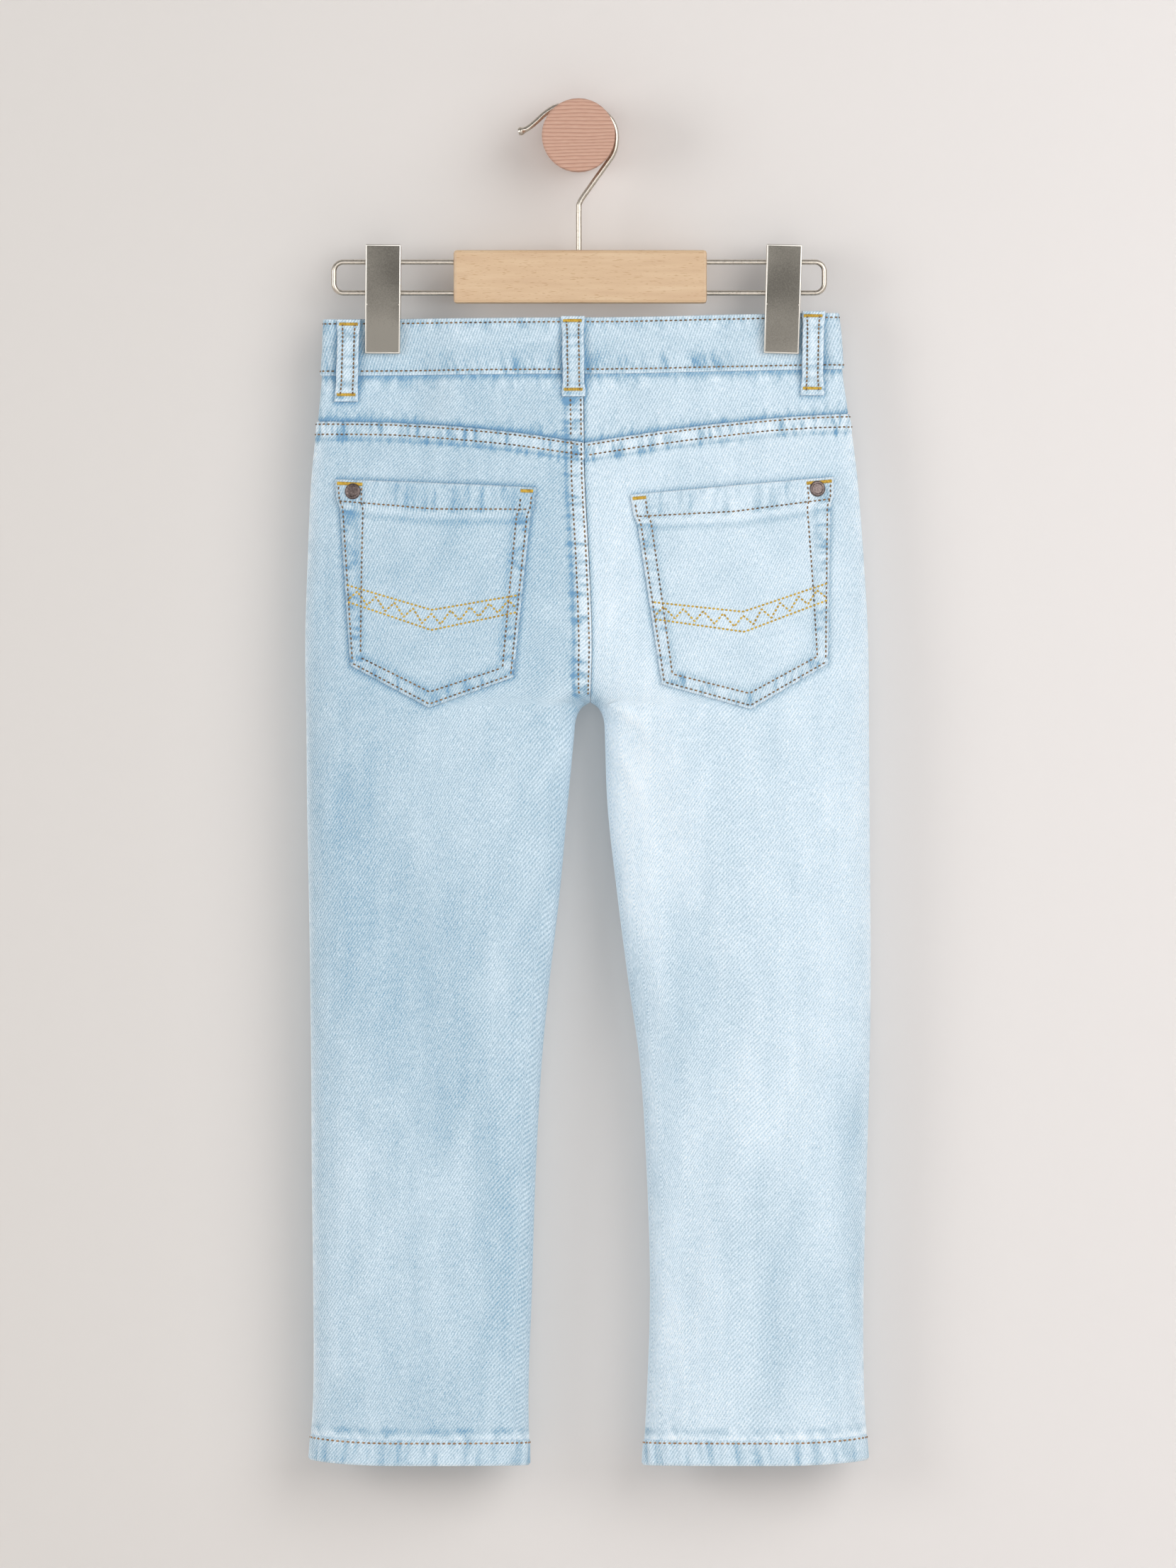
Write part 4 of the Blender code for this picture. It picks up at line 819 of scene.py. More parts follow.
for side in (LEFT, RIGHT):
    name = SIDE_NAMES[side]
    t, share = np.meshgrid(crowd(YOKE_COLUMNS, 0.4), crowd(YOKE_ROWS, 0.3))
    part = across_part(BACK, side, YOKE_CENTRE, t)
    band_low = band_top(BACK, side, part) - BAND_HEIGHT
    seam = yoke_seam(side, part)
    z = mix(band_low + YOKE_TUCK, seam - YOKE_TUCK, share)
    points = surface(BACK, side, z, t)
    x = points[..., 0]
    from_side = lengths(points, 1)
    from_inner = from_side[:, -1:] - from_side
    free = smooth(from_side / 12) * (1 - clip_pinch(x, z))
    height = 0.7 * crumple(BACK, x, z) * free - YOKE_SINK - 1.3 * smooth((seam + 1.2 - z) / 1.6)
    # Raised places are painted paler and low places bluer: partly worn dye, partly painted light and shade
    dyes_and_shades = washed_and_shaded(BACK, x, z) + 0.10 * height + 0.02 - 0.03 * side
    gathers = cloudy(x, band_low - z, 3.4, 12.0, 51.0 + side) * (1 - smooth((band_low - z) / 14))
    height = height + 0.35 * gathers * (1 - clip_pinch(x, z))
    # A painted shadow under the waistband's low edge, over gathers painted paler on ridges, bluer in
    # hollows
    dyes_and_shades = dyes_and_shades + 0.35 * gathers - 0.40 * bump((band_low - z - 0.5) / 2.4)
    gathers = cloudy(x, z - seam, 3.0, 10.0, 53.0 + side) * (1 - smooth((z - seam) / 12))
    height = height + 0.4 * gathers * smooth((z - seam) / 2)
    # A painted shadow above the yoke seam's strip, and painted shadows round the belt loops
    dyes_and_shades = dyes_and_shades + dye_and_shade_of_folds(gathers) * 0.7 - 0.36 * bump((z - seam - 0.8) / 1.8)
    dyes_and_shades = dyes_and_shades - 0.32 * painted_loop_shadow(BACK, x, z)
    if side == LEFT:
        seam_height, seam_fade = felled_seam(z, from_inner, CENTRE_STRIP, 55.0)
        height, dyes_and_shades = height + seam_height * smooth((z - seam) / 2), dyes_and_shades + seam_fade
    else:
        # A painted shadow beside the centre seam, under the left half's strip
        dyes_and_shades = dyes_and_shades - 0.4 * bump(from_inner / 1.8)
    outward = (0, BACK, 0)
    across, down = t[0], share[:, 0]
    made = cloth(
        f"yoke_cloth_{name}", across, down, points, outward, height, dyes_and_shades, PANEL_WALL, side * BACK
    )
    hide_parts(f"yoke_{name}")
    sewn = []
    if side == LEFT:
        rows = centre_rows(made, made.points[:, -1, 2] > YOKE_CENTRE + 1)
        sewn = [stitches("seam_stitching_yoke", rows, "brown")]

# The waistband, a strip of twill folded over and stitched near both edges. It runs from the button's end
# round the back, and its other end laps over the start at the centre front. The clips press it flat on the
# seat side.
BAND_OUT = 0.9
BAND_IN = 1.4
BUTTON_LAP = 26.0
LAP_RISE_FROM = 0.86
LAP_LIFT = BAND_OUT + BAND_IN + SEAM_GAP
LAP_RISE_OVER = 0.13
BAND_ROW = 3.0
BAND_LINES = 32
QUARTER_COLUMNS = 105
LAP_COLUMNS = 21
BAND_FADE = 0.49


def face_depth(face, side, x, z):
    centre, half_width, _ = section(face, side, z)
    share = np.minimum(1.0, np.abs(x - centre) / half_width)
    return half_depth(face, x, z, (1 - share**ROUNDNESS) ** (1 / ROUNDNESS))


def on_face(face, side, x, z):
    """Points over a face at x and z."""
    return np.stack([x, HANG_Y + face * (face_depth(face, side, x, z) + SEAM_GAP / 2), z], axis=-1)


drop_share = crowd(BAND_LINES, 0.45)
quarter = np.linspace(0.0, 1.0, QUARTER_COLUMNS)
blocks, lifts = [], []
for face, side, stops in (
    (FRONT, RIGHT, quarter[:0:-1]),
    (BACK, RIGHT, quarter),
    (BACK, LEFT, quarter[-2::-1]),
    (FRONT, LEFT, quarter[1:]),
):
    t, share = np.meshgrid(stops, drop_share)
    drop = BAND_HEIGHT * share
    part = across_part(face, side, BAND_TOP_CENTRE - drop, t)
    blocks.append(surface(face, side, band_top(face, side, part) - drop, t, gap=0))
    laps = (face, side) == (FRONT, LEFT)
    lap = (t - LAP_RISE_FROM) / LAP_RISE_OVER if laps else np.zeros_like(t)
    lifts.append(smooth(lap))
beyond, share = np.meshgrid(np.arange(1, LAP_COLUMNS + 1) / LAP_COLUMNS, drop_share)
lap_x = inner_x(RIGHT, np.float64(BAND_TOP_CENTRE)) + BUTTON_LAP * beyond
blocks.append(on_face(FRONT, RIGHT, lap_x, BAND_TOP_CENTRE - FRONT_DIP - BAND_HEIGHT * share))
lifts.append(np.ones_like(share))
points, lift = np.concatenate(blocks, axis=1), np.concatenate(lifts, axis=1)
run, from_top = lengths(points, 1), lengths(points, 0)
from_low = from_top[-1:, :] - from_top
from_end = np.minimum(run, run[:, -1:] - run)
loose = 1 - clip_pinch(points[..., 0], points[..., 2]) * (points[..., 1] < HANG_Y)
edge = np.minimum(np.minimum(from_top, from_low), from_end)
gathers = cloudy(run, from_low, 3.6, 16.0, 61.0, 2) * (1 - smooth((from_low - 4) / 14))
top_gathers = cloudy(run, from_top, 5.0, 14.0, 63.0, 2) * (1 - smooth((from_top - 3) / 9))
rows_dent = bump((from_top - BAND_ROW) / 1.0) + bump((from_low - BAND_ROW) / 1.0)
waves = cloudy(run, from_top, 15.0, 40.0, 65.0, 3)
height = (0.75 * gathers + 0.35 * top_gathers + 0.5 * waves) * loose - 0.25 * rows_dent
height = BAND_OUT + LAP_LIFT * lift + height * smooth(edge / 2) - 0.75 * (1 - smooth(edge / 1.4)) ** 2
band_x = points[..., 0]
dyes_and_shades = BAND_FADE + 0.05 * smooth((band_x + 40) / 80) + 0.12 * cloudy(run, from_top, 22.0, 16.0, 67.0, 3)
# Gathers: paler ridges, bluer hollows, partly worn dye and partly painted light and shade
dyes_and_shades = dyes_and_shades + dye_and_shade_of_folds(gathers) * loose + 0.3 * top_gathers - 0.06 * rows_dent
dyes_and_shades = dyes_and_shades + 0.2 * (1 - smooth(edge / 1.6))
# Painted shadows round the belt loops
for face in (BACK, FRONT):
    on_this = (points[..., 1] < HANG_Y) == (face == BACK)
    dyes_and_shades = dyes_and_shades - 0.34 * painted_loop_shadow(face, band_x, points[..., 2]) * on_this
band_across = np.linspace(0.0, 1.0, points.shape[1])
band = cloth(
    "waistband_cloth",
    band_across,
    drop_share,
    points,
    (0, BACK, 0),
    height,
    dyes_and_shades,
    BAND_OUT + BAND_IN,
    -1,
    turn=-0.08,
)
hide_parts("waistband_left", "waistband_right")
rows = [
    on_cloth(band, band_across, down_share(band, BAND_ROW)),
    on_cloth(band, band_across, down_share(band, BAND_ROW, from_low=True)),
]
band_stitching = stitches("waistband_stitching", rows, "brown")

# Belt loops: strips folded in three, sewn along both sides and tacked down at each end with golden thread
LOOP_END = 6.0
LOOP_STAND = 2.4
LOOP_WALL = 1.8
LOOP_ROWS_APART = 6.8
LOOP_TACKS = (2.8, 4.2)
LOOP_COLUMNS = 19
LOOP_LINES = 52
LOOP_FADE = 0.60
LOOP_THREAD = {"step": 2.6, "long": 2.2}
LOOP_TACK_LONG = 2.4
TACK_STEP = 0.62
TACK_LONG = 2.5
TACK_WIDE = 0.8


def bar_tacks(name, bars, long=TACK_LONG):
    """Close zigzags of golden thread along short lines."""
    return stitches(name, bars, "gold", step=TACK_STEP, long=long, wide=TACK_WIDE, tacked=True)


for seed, loop in enumerate(LOOPS):
    side = LEFT if loop.x_top < 0 else RIGHT
    across, down = np.linspace(0.0, 1.0, LOOP_COLUMNS), crowd(LOOP_LINES, 0.3)
    u, share = np.meshgrid(across, down)
    z = mix(loop.z_top, loop.z_low, share)
    from_end = np.minimum(share, 1 - share) * (loop.z_top - loop.z_low)
    width = LOOP_WIDTH * (1 + 0.1 * (1 - smooth((from_end - 3) / 6)))
    width = width + 0.5 * cloudy(z, z, 9.0, 9.0, 70.0 + seed)
    x = mix(loop.x_top, loop.x_low, share) + (u - 0.5) * width
    points = on_face(loop.face, side, x, z)
    part = np.clip((outer_x(side, z) - x) / (outer_x(side, z) - inner_x(side, z)), 0.0, 1.0)
    over_band = smooth((z - band_top(loop.face, side, part) + BAND_HEIGHT + 3.0) / 3.0)
    stand = LOOP_STAND * smooth((from_end - LOOP_END) / 7)
    from_middle = np.abs(u - 0.5) * width
    rows_dent = bump((from_middle - LOOP_ROWS_APART / 2) / 0.8)
    edge = np.minimum(width / 2 - from_middle, from_end)
    tacks = bump((loop.z_top - z - LOOP_TACKS[0]) / 1.2) + bump((z - loop.z_low - LOOP_TACKS[1]) / 1.2)
    gathers = cloudy(z, u * 6, 2.6, 6.0, 74.0 + seed)
    height = SEAM_GAP + BAND_OUT * over_band + stand + LOOP_WALL
    height = height + 0.3 * gathers - 0.22 * rows_dent - 0.35 * tacks
    height = height - 0.6 * (1 - smooth(edge / 1.2)) ** 2
    # Gathers: paler ridges, bluer hollows, partly worn dye and partly painted light and shade
    dyes_and_shades = LOOP_FADE + 0.04 * side + 0.6 * dye_and_shade_of_folds(gathers) + 0.22 * (1 - smooth(edge / 1.5))
    dyes_and_shades = dyes_and_shades - 0.10 * rows_dent + 0.10 * bump(from_middle / 1.6) - 0.14 * tacks
    outward = (0, loop.face, 0)
    made = cloth(
        f"belt_loop_cloth_{loop.name}", across, down, points, outward, height, dyes_and_shades, LOOP_WALL, -loop.face
    )
    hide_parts(f"belt_loop_{loop.name}")
    shift = LOOP_ROWS_APART / 2 / LOOP_WIDTH
    rows = [on_cloth(made, np.full_like(down, 0.5 + hand * shift), down) for hand in (-1, 1)]
    rows = [(row[0][3:-3], row[1][3:-3]) for row in rows]
    sewn = stitches(f"belt_loop_stitching_{loop.name}", rows, "brown", **LOOP_THREAD)
    span = np.linspace(0.09, 0.91, 24)
    tall = loop.z_top - loop.z_low
    ends = (LOOP_TACKS[0] / tall, 1 - LOOP_TACKS[1] / tall)
    bars = [on_cloth(made, span, np.full_like(span, end)) for end in ends]
    tacked = bar_tacks(f"belt_loop_tacks_{loop.name}", bars, LOOP_TACK_LONG)

# Two five-sided patch pockets, their mouths hemmed and their other edges folded in and sewn down twice. The
# stitched figure across each is a plain one of two rows and a zigzag. Golden tacks hold the corners of the
# mouth.
POCKET_WALL = 1.5
POCKET_HEM_SHARE = 0.13
POCKET_HEM_FLARE = 1.6
POCKET_FULLNESS = 1.5
POCKET_ROWS = (2.0, 8.0)
POCKET_ROWS_PART = 7.0
POCKET_HEM_ROW = 1.6
POCKET_SLANT = 0.93
POCKET_COLUMNS = 92
POCKET_LINES = 96
POCKET_FADE = 0.50
POCKET_TACKS = ((0.012, 0.138), (0.925, 0.992))
POCKET_TACK_SHARE = 0.022
FIGURE_SHARES = (0.565, 0.655)
FIGURE_TEETH = 9
FIGURE_INSET = 0.018
FIGURE_THREAD = {"step": 2.5, "long": 1.9, "wide": 1.3}


def pocket_point(side, across, down):
    """x and z on a back pocket: across is 0 at its outer edge, down is 0 at its mouth."""
    outer_top, inner_top, inner_low, tip, outer_low = POCKETS[side]
    near, far = np.minimum(across * 2, 1.0), np.maximum(across * 2 - 1, 0.0)
    place = []
    for axis in (0, 1):
        top = mix(outer_top[axis], inner_top[axis], across)
        low = mix(mix(outer_low[axis], tip[axis], near), inner_low[axis], far)
        place.append(mix(top, low, down))
    flare = POCKET_HEM_FLARE * smooth((POCKET_HEM_SHARE + 0.03 - down) / 0.06) * (across * 2 - 1)
    return place[0] - side * flare, place[1]


def pocket_stand(across, down):
    """How far a pocket stands off its panel, which is most at the middle of its mouth."""
    return SEAM_GAP + POCKET_FULLNESS * np.sin(math.pi * across).clip(0.0) ** 0.7 * (1 - down) ** 0.8


for side in (LEFT, RIGHT):
    name = SIDE_NAMES[side]
    across, down = crowd(POCKET_COLUMNS, 0.45), crowd(POCKET_LINES, 0.45)
    u, v = np.meshgrid(across, down)
    x, z = pocket_point(side, u, v)
    points = on_face(BACK, side, x, z)
    from_outer, from_mouth = lengths(points, 1), lengths(points, 0)
    from_inner = from_outer[:, -1:] - from_outer
    from_low = (from_mouth[-1:, :] - from_mouth) * POCKET_SLANT
    from_sides = np.minimum(from_outer, from_inner)
    from_fold = np.minimum(from_sides, from_low)
    edge = np.minimum(from_fold, from_mouth)
    hem_height = from_mouth[-1:, :] * POCKET_HEM_SHARE
    in_hem = 1 - smooth((from_mouth - hem_height) / 1.2)
    beside = cloudy(z, from_sides, 3.1, 12.0, 81.0 + side, 2) * (1 - smooth((from_sides - 6) / 6))
    beneath = cloudy(x, from_low, 3.1, 12.0, 83.0 + side, 2) * (1 - smooth((from_low - 6) / 6))
    mouth_folds = cloudy(x, from_mouth, 9.0, 26.0, 85.0 + side, 2) * (1 - smooth((from_mouth - 10) / 22))
    below_hem = 1 - in_hem
    rows_dent = below_hem * sum(bump((from_fold - row) / ROW_DENT) for row in POCKET_ROWS)
    rows_dent = rows_dent + bump((from_mouth - hem_height + POCKET_HEM_ROW) / ROW_DENT)
    middle = smooth((from_fold - 4) / 14)
    gathers = (beside + beneath) * below_hem
    height = pocket_stand(u, v) + POCKET_WALL + 0.5 * in_hem
    height = height + 0.75 * mouth_folds * smooth(from_sides / 6)
    height = height + 0.42 * gathers - 0.2 * rows_dent + 0.7 * crumple(BACK, x, z) * middle
    height = height - 0.9 * (1 - smooth(edge / 1.5)) ** 2
    hem_folds = cloudy(x + 0.1 * from_mouth, from_mouth, 4.2, 30.0, 89.0 + side, 2) * in_hem
    dyes_and_shades = POCKET_FADE + 0.09 * side + 0.05 * middle + 0.08 * cloudy(x, z, 22.0, 30.0, 87.0 + side, 3)
    # Gathers and folds: paler ridges, bluer hollows, partly worn dye and partly painted light and shade
    dyes_and_shades = dyes_and_shades + dye_and_shade_of_folds(gathers) + 0.6 * dye_and_shade_of_folds(hem_folds) + 0.12 * mouth_folds
    dyes_and_shades = dyes_and_shades + 0.2 * (1 - smooth(edge / 1.6)) - 0.06 * rows_dent
    from_hem = from_mouth - hem_height
    dyes_and_shades = dyes_and_shades + 0.08 * bump((from_hem - 2.0) / 2.0) - 0.18 * bump((from_hem - 6.0) / 2.0)
    dyes_and_shades = dyes_and_shades - 0.12 * bump((from_fold - 10.0) / 1.8) * below_hem
    made = cloth(
        f"back_pocket_cloth_{name}",
        across,
        down,
        points,
        (0, BACK, 0),
        height,
        dyes_and_shades,
        POCKET_WALL,
        side * BACK,
        turn=-0.09,
    )
    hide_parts(f"back_pocket_{name}")
    wide, tall = from_outer[:, -1].mean(), from_mouth[-1, :].mean()
    rows = []
    for distance in POCKET_ROWS:
        inset, rise = distance / wide, 1 - distance / POCKET_SLANT / tall
        sides_down = np.linspace(0.035, rise, 70)
        parting = (distance == POCKET_ROWS[1]) * POCKET_ROWS_PART / wide * (1 - sides_down / rise)
        rows.append(on_cloth(made, inset + parting, sides_down))
        bottom = np.linspace(inset, 1 - inset, 90)
        rows.append(on_cloth(made, bottom, np.full_like(bottom, rise)))
        rows.append(on_cloth(made, np.full_like(sides_down, 1 - inset), sides_down[::-1]))
    mouth = np.linspace(0.01, 0.99, 80)
    rows.append(on_cloth(made, mouth, np.full_like(mouth, POCKET_HEM_SHARE - POCKET_HEM_ROW / tall)))
    sewn = stitches(f"back_pocket_stitching_{name}", rows, "brown")
    teeth = np.arange(FIGURE_TEETH * 2 + 1)
    fine = np.linspace(0.0, 1.0, 12 * (len(teeth) - 1) + 1)
    high, low = FIGURE_SHARES[0] + FIGURE_INSET, FIGURE_SHARES[1] - FIGURE_INSET
    zigzag_v = np.interp(fine, np.linspace(0, 1, len(teeth)), np.where(teeth % 2, high, low))
    figure = [on_cloth(made, mouth, np.full_like(mouth, level)) for level in FIGURE_SHARES]
    figure.append(on_cloth(made, mix(0.02, 0.98, fine), zigzag_v))
    figured = stitches(f"back_pocket_figure_{name}", figure, "gold", **FIGURE_THREAD)
    bars = []
    for start, stop in POCKET_TACKS:
        span = np.linspace(start, stop, 20)
        bars.append(on_cloth(made, span, np.full_like(span, POCKET_TACK_SHARE)))
    tacked = bar_tacks(f"back_pocket_tacks_{name}", bars)

# Turned-up hems, the leg's end folded twice and sewn with one row. Washing twists the fold, which ropes it
HEM_OUT = 0.5
HEM_IN = 2.1
HEM_ROW = 1.7
HEM_COLUMNS = 147
HEM_LINES = 20
HEM_FADE = 0.56
HEM_THREAD = {"step": 3.2, "long": 2.2, "wide": 1.25}
for side in (LEFT, RIGHT):
    name = SIDE_NAMES[side]
    even = np.linspace(0.0, 1.0, HEM_COLUMNS)
    down = crowd(HEM_LINES, 0.5)
    halves = []
    for face, stops in ((BACK, even), (FRONT, even[-2::-1])):
        t, share = np.meshgrid(stops, down)
        z = hem_edge(t) + HEM_HEIGHT * (1 - share)
        halves.append(surface(face, side, z, t, gap=0))
    points = np.concatenate(halves, axis=1)
    across = np.linspace(0.0, 1.0, points.shape[1])
    run, from_top = lengths(points, 1), lengths(points, 0)
    from_low = from_top[-1:, :] - from_top
    ends = smooth(np.minimum(run, run[:, -1:] - run) / 3)
    roping = cloudy(run + 0.06 * from_top, from_top, 5.2, 40.0, 91.0 + side, 2) * ends
    rows_dent = bump((from_top - HEM_ROW) / ROW_DENT)
    height = HEM_OUT + 0.85 * roping * smooth(from_top / 2) - 0.25 * rows_dent
    height = height - 1.1 * (1 - smooth(from_low / 1.9)) ** 2 - 0.3 * (1 - smooth(from_top / 1.0))
    # Roping: paler ridges, bluer hollows, partly worn dye and partly painted light and shade
    dyes_and_shades = HEM_FADE + 0.03 * side + 0.75 * dye_and_shade_of_folds(roping) + 0.18 * (1 - smooth(from_low / 1.8))
    dyes_and_shades = dyes_and_shades + 0.08 * cloudy(run, from_top, 24.0, 20.0, 95.0 + side) * ends
    made = cloth(
        f"hem_cloth_{name}",
        across,
        down,
        points,
        (-side, 0, 0),
        height,
        dyes_and_shades,
        HEM_OUT + HEM_IN,
        side * BACK,
        turn=0.05,
        closed=True,
    )
    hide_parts(f"hem_{name}")
    row = on_cloth(made, across, down_share(made, HEM_ROW))
    sewn = stitches(f"hem_stitching_{name}", [row], "tan", **HEM_THREAD)

# The front panels, which face the wall. A curved opening is cut from each for the hand, with a facing
# behind it, and the left one carries the fly's lapped strip and the tack at its foot.
WAIST_GAP = 0.5
FRONT_SINK = 0.9
SCOOP_STRIP = 9.0
SCOOP_IN = 62.0
SCOOP_LOW = -212.0
SCOOP_ROWS = (1.8, 7.6)
FRONT_COLUMNS = 84
FRONT_ROWS = 216
FACING_LAP = 14.0
FACING_SINK = 0.7
FACING_WALL = 1.1
FACING_COLUMNS = 31
FACING_LINES = 37
FACING_FADE = 0.42
FLY_WIDTH = 34.0
FLY_LOW = -262.0
FLY_OVERLAP = 2.5
FLY_STRAIGHT_SHARE = 0.62
FLY_FOOT_SHARE = 0.2
FLY_COLUMNS = 26
FLY_LINES = 76
FLY_FADE = 0.56
FLY_ROWS = (0.86, 0.70)
FLY_TACK_SHARE = 0.975


def scoop_start(side, z):
    """The hand opening: where a front panel begins at heights z, as t."""
    top = band_top(FRONT, side, 0.0) - BAND_HEIGHT
    rise = np.clip((z - SCOOP_LOW) / (top - SCOOP_LOW), 0.0, 1.0)
    inward = SCOOP_IN * (1 - np.sqrt(1 - rise**1.7)) ** 0.8
    _, half_width, _ = section(FRONT, side, z)
    return np.minimum(1.0, inward / half_width) ** (1 / COLUMN_SPREAD)


for side in (LEFT, RIGHT):
    name = SIDE_NAMES[side]
    part_t, share = np.meshgrid(crowd(FRONT_COLUMNS, 0.4), crowd(FRONT_ROWS, 0.35))
    band_middle = band_top(FRONT, side, 0.5) - BAND_HEIGHT
    first = scoop_start(side, band_middle)
    top_t = first + (1 - first) * part_t
    top = band_top(FRONT, side, across_part(FRONT, side, band_middle, top_t)) - BAND_HEIGHT + YOKE_TUCK
    low = hem_edge(part_t) + HEM_HEIGHT - HEM_TUCK
    z = mix(top, low, share)
    start = scoop_start(side, z)
    t = start + (1 - start) * part_t
    points = surface(FRONT, side, z, t)
    x = points[..., 0]
    from_side, from_top = lengths(points, 1), lengths(points, 0)
    from_inner = from_side[:, -1:] - from_side
    from_low = from_top[-1:, :] - from_top
    in_scoop = smooth((z - SCOOP_LOW) / 4)
    free = smooth(from_side / 12) * smooth(from_inner / 10) * (1 - clip_pinch(x, z))
    height = crumple(FRONT, x, z) * free * smooth(from_low / 6)
    height = height - FRONT_SINK * smooth((WAIST_GAP - from_top + YOKE_TUCK) / 1.5)
    # Raised places are painted paler and low places bluer: partly worn dye, partly painted light and shade
    dyes_and_shades = washed_and_shaded(FRONT, x, z) + 0.10 * height
    scoop_height, scoop_fade = felled_seam(z, from_side, SCOOP_STRIP, 101.0 + side, rows=SCOOP_ROWS)
    height = height + in_scoop * scoop_height * 0.6
    dyes_and_shades = dyes_and_shades + in_scoop * scoop_fade
    # A painted shadow under the waistband, over gathers painted paler on ridges and bluer in hollows
    gathers = cloudy(x, from_top, 3.4, 12.0, 103.0 + side) * (1 - smooth((from_top - YOKE_TUCK) / 14))
    dyes_and_shades = dyes_and_shades + 0.35 * gathers - 0.26 * bump((from_top - YOKE_TUCK - 1.0) / 2.4)
    below = 1 - in_scoop
    # The gathers beside the side seam and above the hem are painted the same way
    gathers = cloudy(z, from_side, 4.0, 9.0, 105.0 + side) * (1 - smooth(from_side / 8)) * below
    dyes_and_shades = dyes_and_shades + 0.3 * gathers - 0.12 * bump(from_side / 1.5) * below
    gathers = cloudy(x + 0.5 * z, from_low, 4.2, 12.0, 107.0 + side) * (1 - smooth(from_low / 14))
    height = height + 0.3 * gathers * smooth(from_low / 2) - HEM_SINK * (1 - smooth(from_low / 2.2))
    dyes_and_shades = dyes_and_shades + 0.35 * gathers - 0.14 * bump((from_low - 1.5) / 2.5)
    outward = (0, FRONT, 0)
    across, down = part_t[0], share[:, 0]
    made = cloth(f"front_{name}", across, down, points, outward, height, dyes_and_shades, PANEL_WALL, side * FRONT)
    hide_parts(*(f"front_{name}_{part}" for part in PANEL_PARTS))
    shown = (made.points[:, 0, 2] > SCOOP_LOW) & (made.points[:, 0, 2] < band_middle)
    rows = []
    for row in SCOOP_ROWS:
        at = across_share(made, row, from_start=True)
        rows.append(on_cloth(made, at[shown], made.down[shown]))
    sewn = stitches(f"hand_opening_stitching_{name}", rows, "brown")

    across, down = np.linspace(0.0, 1.0, FACING_COLUMNS), np.linspace(0.0, 1.0, FACING_LINES)
    u, v = np.meshgrid(across, down)
    part = u * (SCOOP_IN + FACING_LAP) / np.abs(outer_x(side, np.float64(SCOOP_LOW)))
    z = mix(band_top(FRONT, side, part) - BAND_HEIGHT + YOKE_TUCK, SCOOP_LOW - FACING_LAP, v)
    last = scoop_start(side, z) + FACING_LAP / np.abs(outer_x(side, z))
    points = surface(FRONT, side, z, last * u)
    depth = -(PANEL_WALL + FACING_SINK) + 0.25 * cloudy(points[..., 0], z, 12.0, 12.0, 111.0 + side)
    dyes_and_shades = FACING_FADE + 0.2 * cloudy(points[..., 0], z, 9.0, 20.0, 113.0 + side)
    facing = f"hand_opening_facing_{name}"
    made = cloth(facing, across, down, points, outward, depth, dyes_and_shades, FACING_WALL, side * FRONT)
    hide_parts(f"pocket_facing_{name}")

across, down = crowd(FLY_COLUMNS, 0.3), crowd(FLY_LINES, 0.3)
u, v = np.meshgrid(across, down)
fly_high = band_top(FRONT, LEFT, 1.0) - BAND_HEIGHT + YOKE_TUCK
z = mix(fly_high, FLY_LOW, v)
curving = np.clip((v - FLY_STRAIGHT_SHARE) / (1 - FLY_STRAIGHT_SHARE), 0.0, 1.0)
width = FLY_WIDTH * np.maximum(FLY_FOOT_SHARE, np.sqrt(1 - curving**2))
x = inner_x(LEFT, z) + FLY_OVERLAP - width * u
points = on_face(FRONT, LEFT, x, z)
from_edge, from_foot = np.minimum(u, 1 - u) * width, (z - FLY_LOW)
edge = np.minimum(from_edge, from_foot)
gathers = cloudy(z, u * 10, 3.4, 8.0, 121.0)
height = SEAM_GAP + FACING_WALL + 0.35 * gathers - 0.5 * (1 - smooth(edge / 1.3)) ** 2
# Gathers: paler ridges and bluer hollows, and a painted shadow under the waistband
dyes_and_shades = FLY_FADE + 0.3 * gathers + 0.2 * (1 - smooth(edge / 1.6))
dyes_and_shades = dyes_and_shades - 0.2 * bump((z - fly_high + YOKE_TUCK + 1.0) / 2.4)
made = cloth("fly_cloth", across, down, points, (0, FRONT, 0), height, dyes_and_shades, FACING_WALL, -1)
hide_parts("fly")
run_down = np.linspace(0.04, 0.97, 60)
rows = [on_cloth(made, np.full_like(run_down, row), run_down) for row in FLY_ROWS]
sewn = stitches("fly_stitching", rows, "brown")
tack_span = np.linspace(0.15, 0.85, 18)
bars = [on_cloth(made, tack_span, np.full_like(tack_span, FLY_TACK_SHARE))]
tacked = bar_tacks("fly_tack", bars)

# Pocket rivets and the waist button, stamped from copper alloy with a smoky antique plating that wears
# bright on the rims. Each rivet is a shallow ring round a sunk middle, set through the cloth.
RIVET_AT = {LEFT: (-133.0, -210.8), RIGHT: (140.8, -209.2)}
RIVET_CLEAR = 0.5
RIVET_PROFILE = [(0, 0), (4.6, 0), (4.75, 0.25), (4.6, 0.75), (4.2, 1.15), (3.6, 1.35)]
RIVET_PROFILE += [(3.1, 1.2), (2.9, 0.95), (2.2, 0.88), (1.2, 0.95), (0, 1.0)]
BUTTON_PROFILE = [(0, 0), (3.4, 0), (3.4, 2.0), (8.3, 2.3), (8.7, 2.7), (8.7, 3.3)]
BUTTON_PROFILE += [(8.3, 3.9), (7.6, 4.25), (6.7, 4.3), (6.1, 4.0), (5.6, 3.85), (0, 3.9)]
BUTTON_FROM_END = 13.5

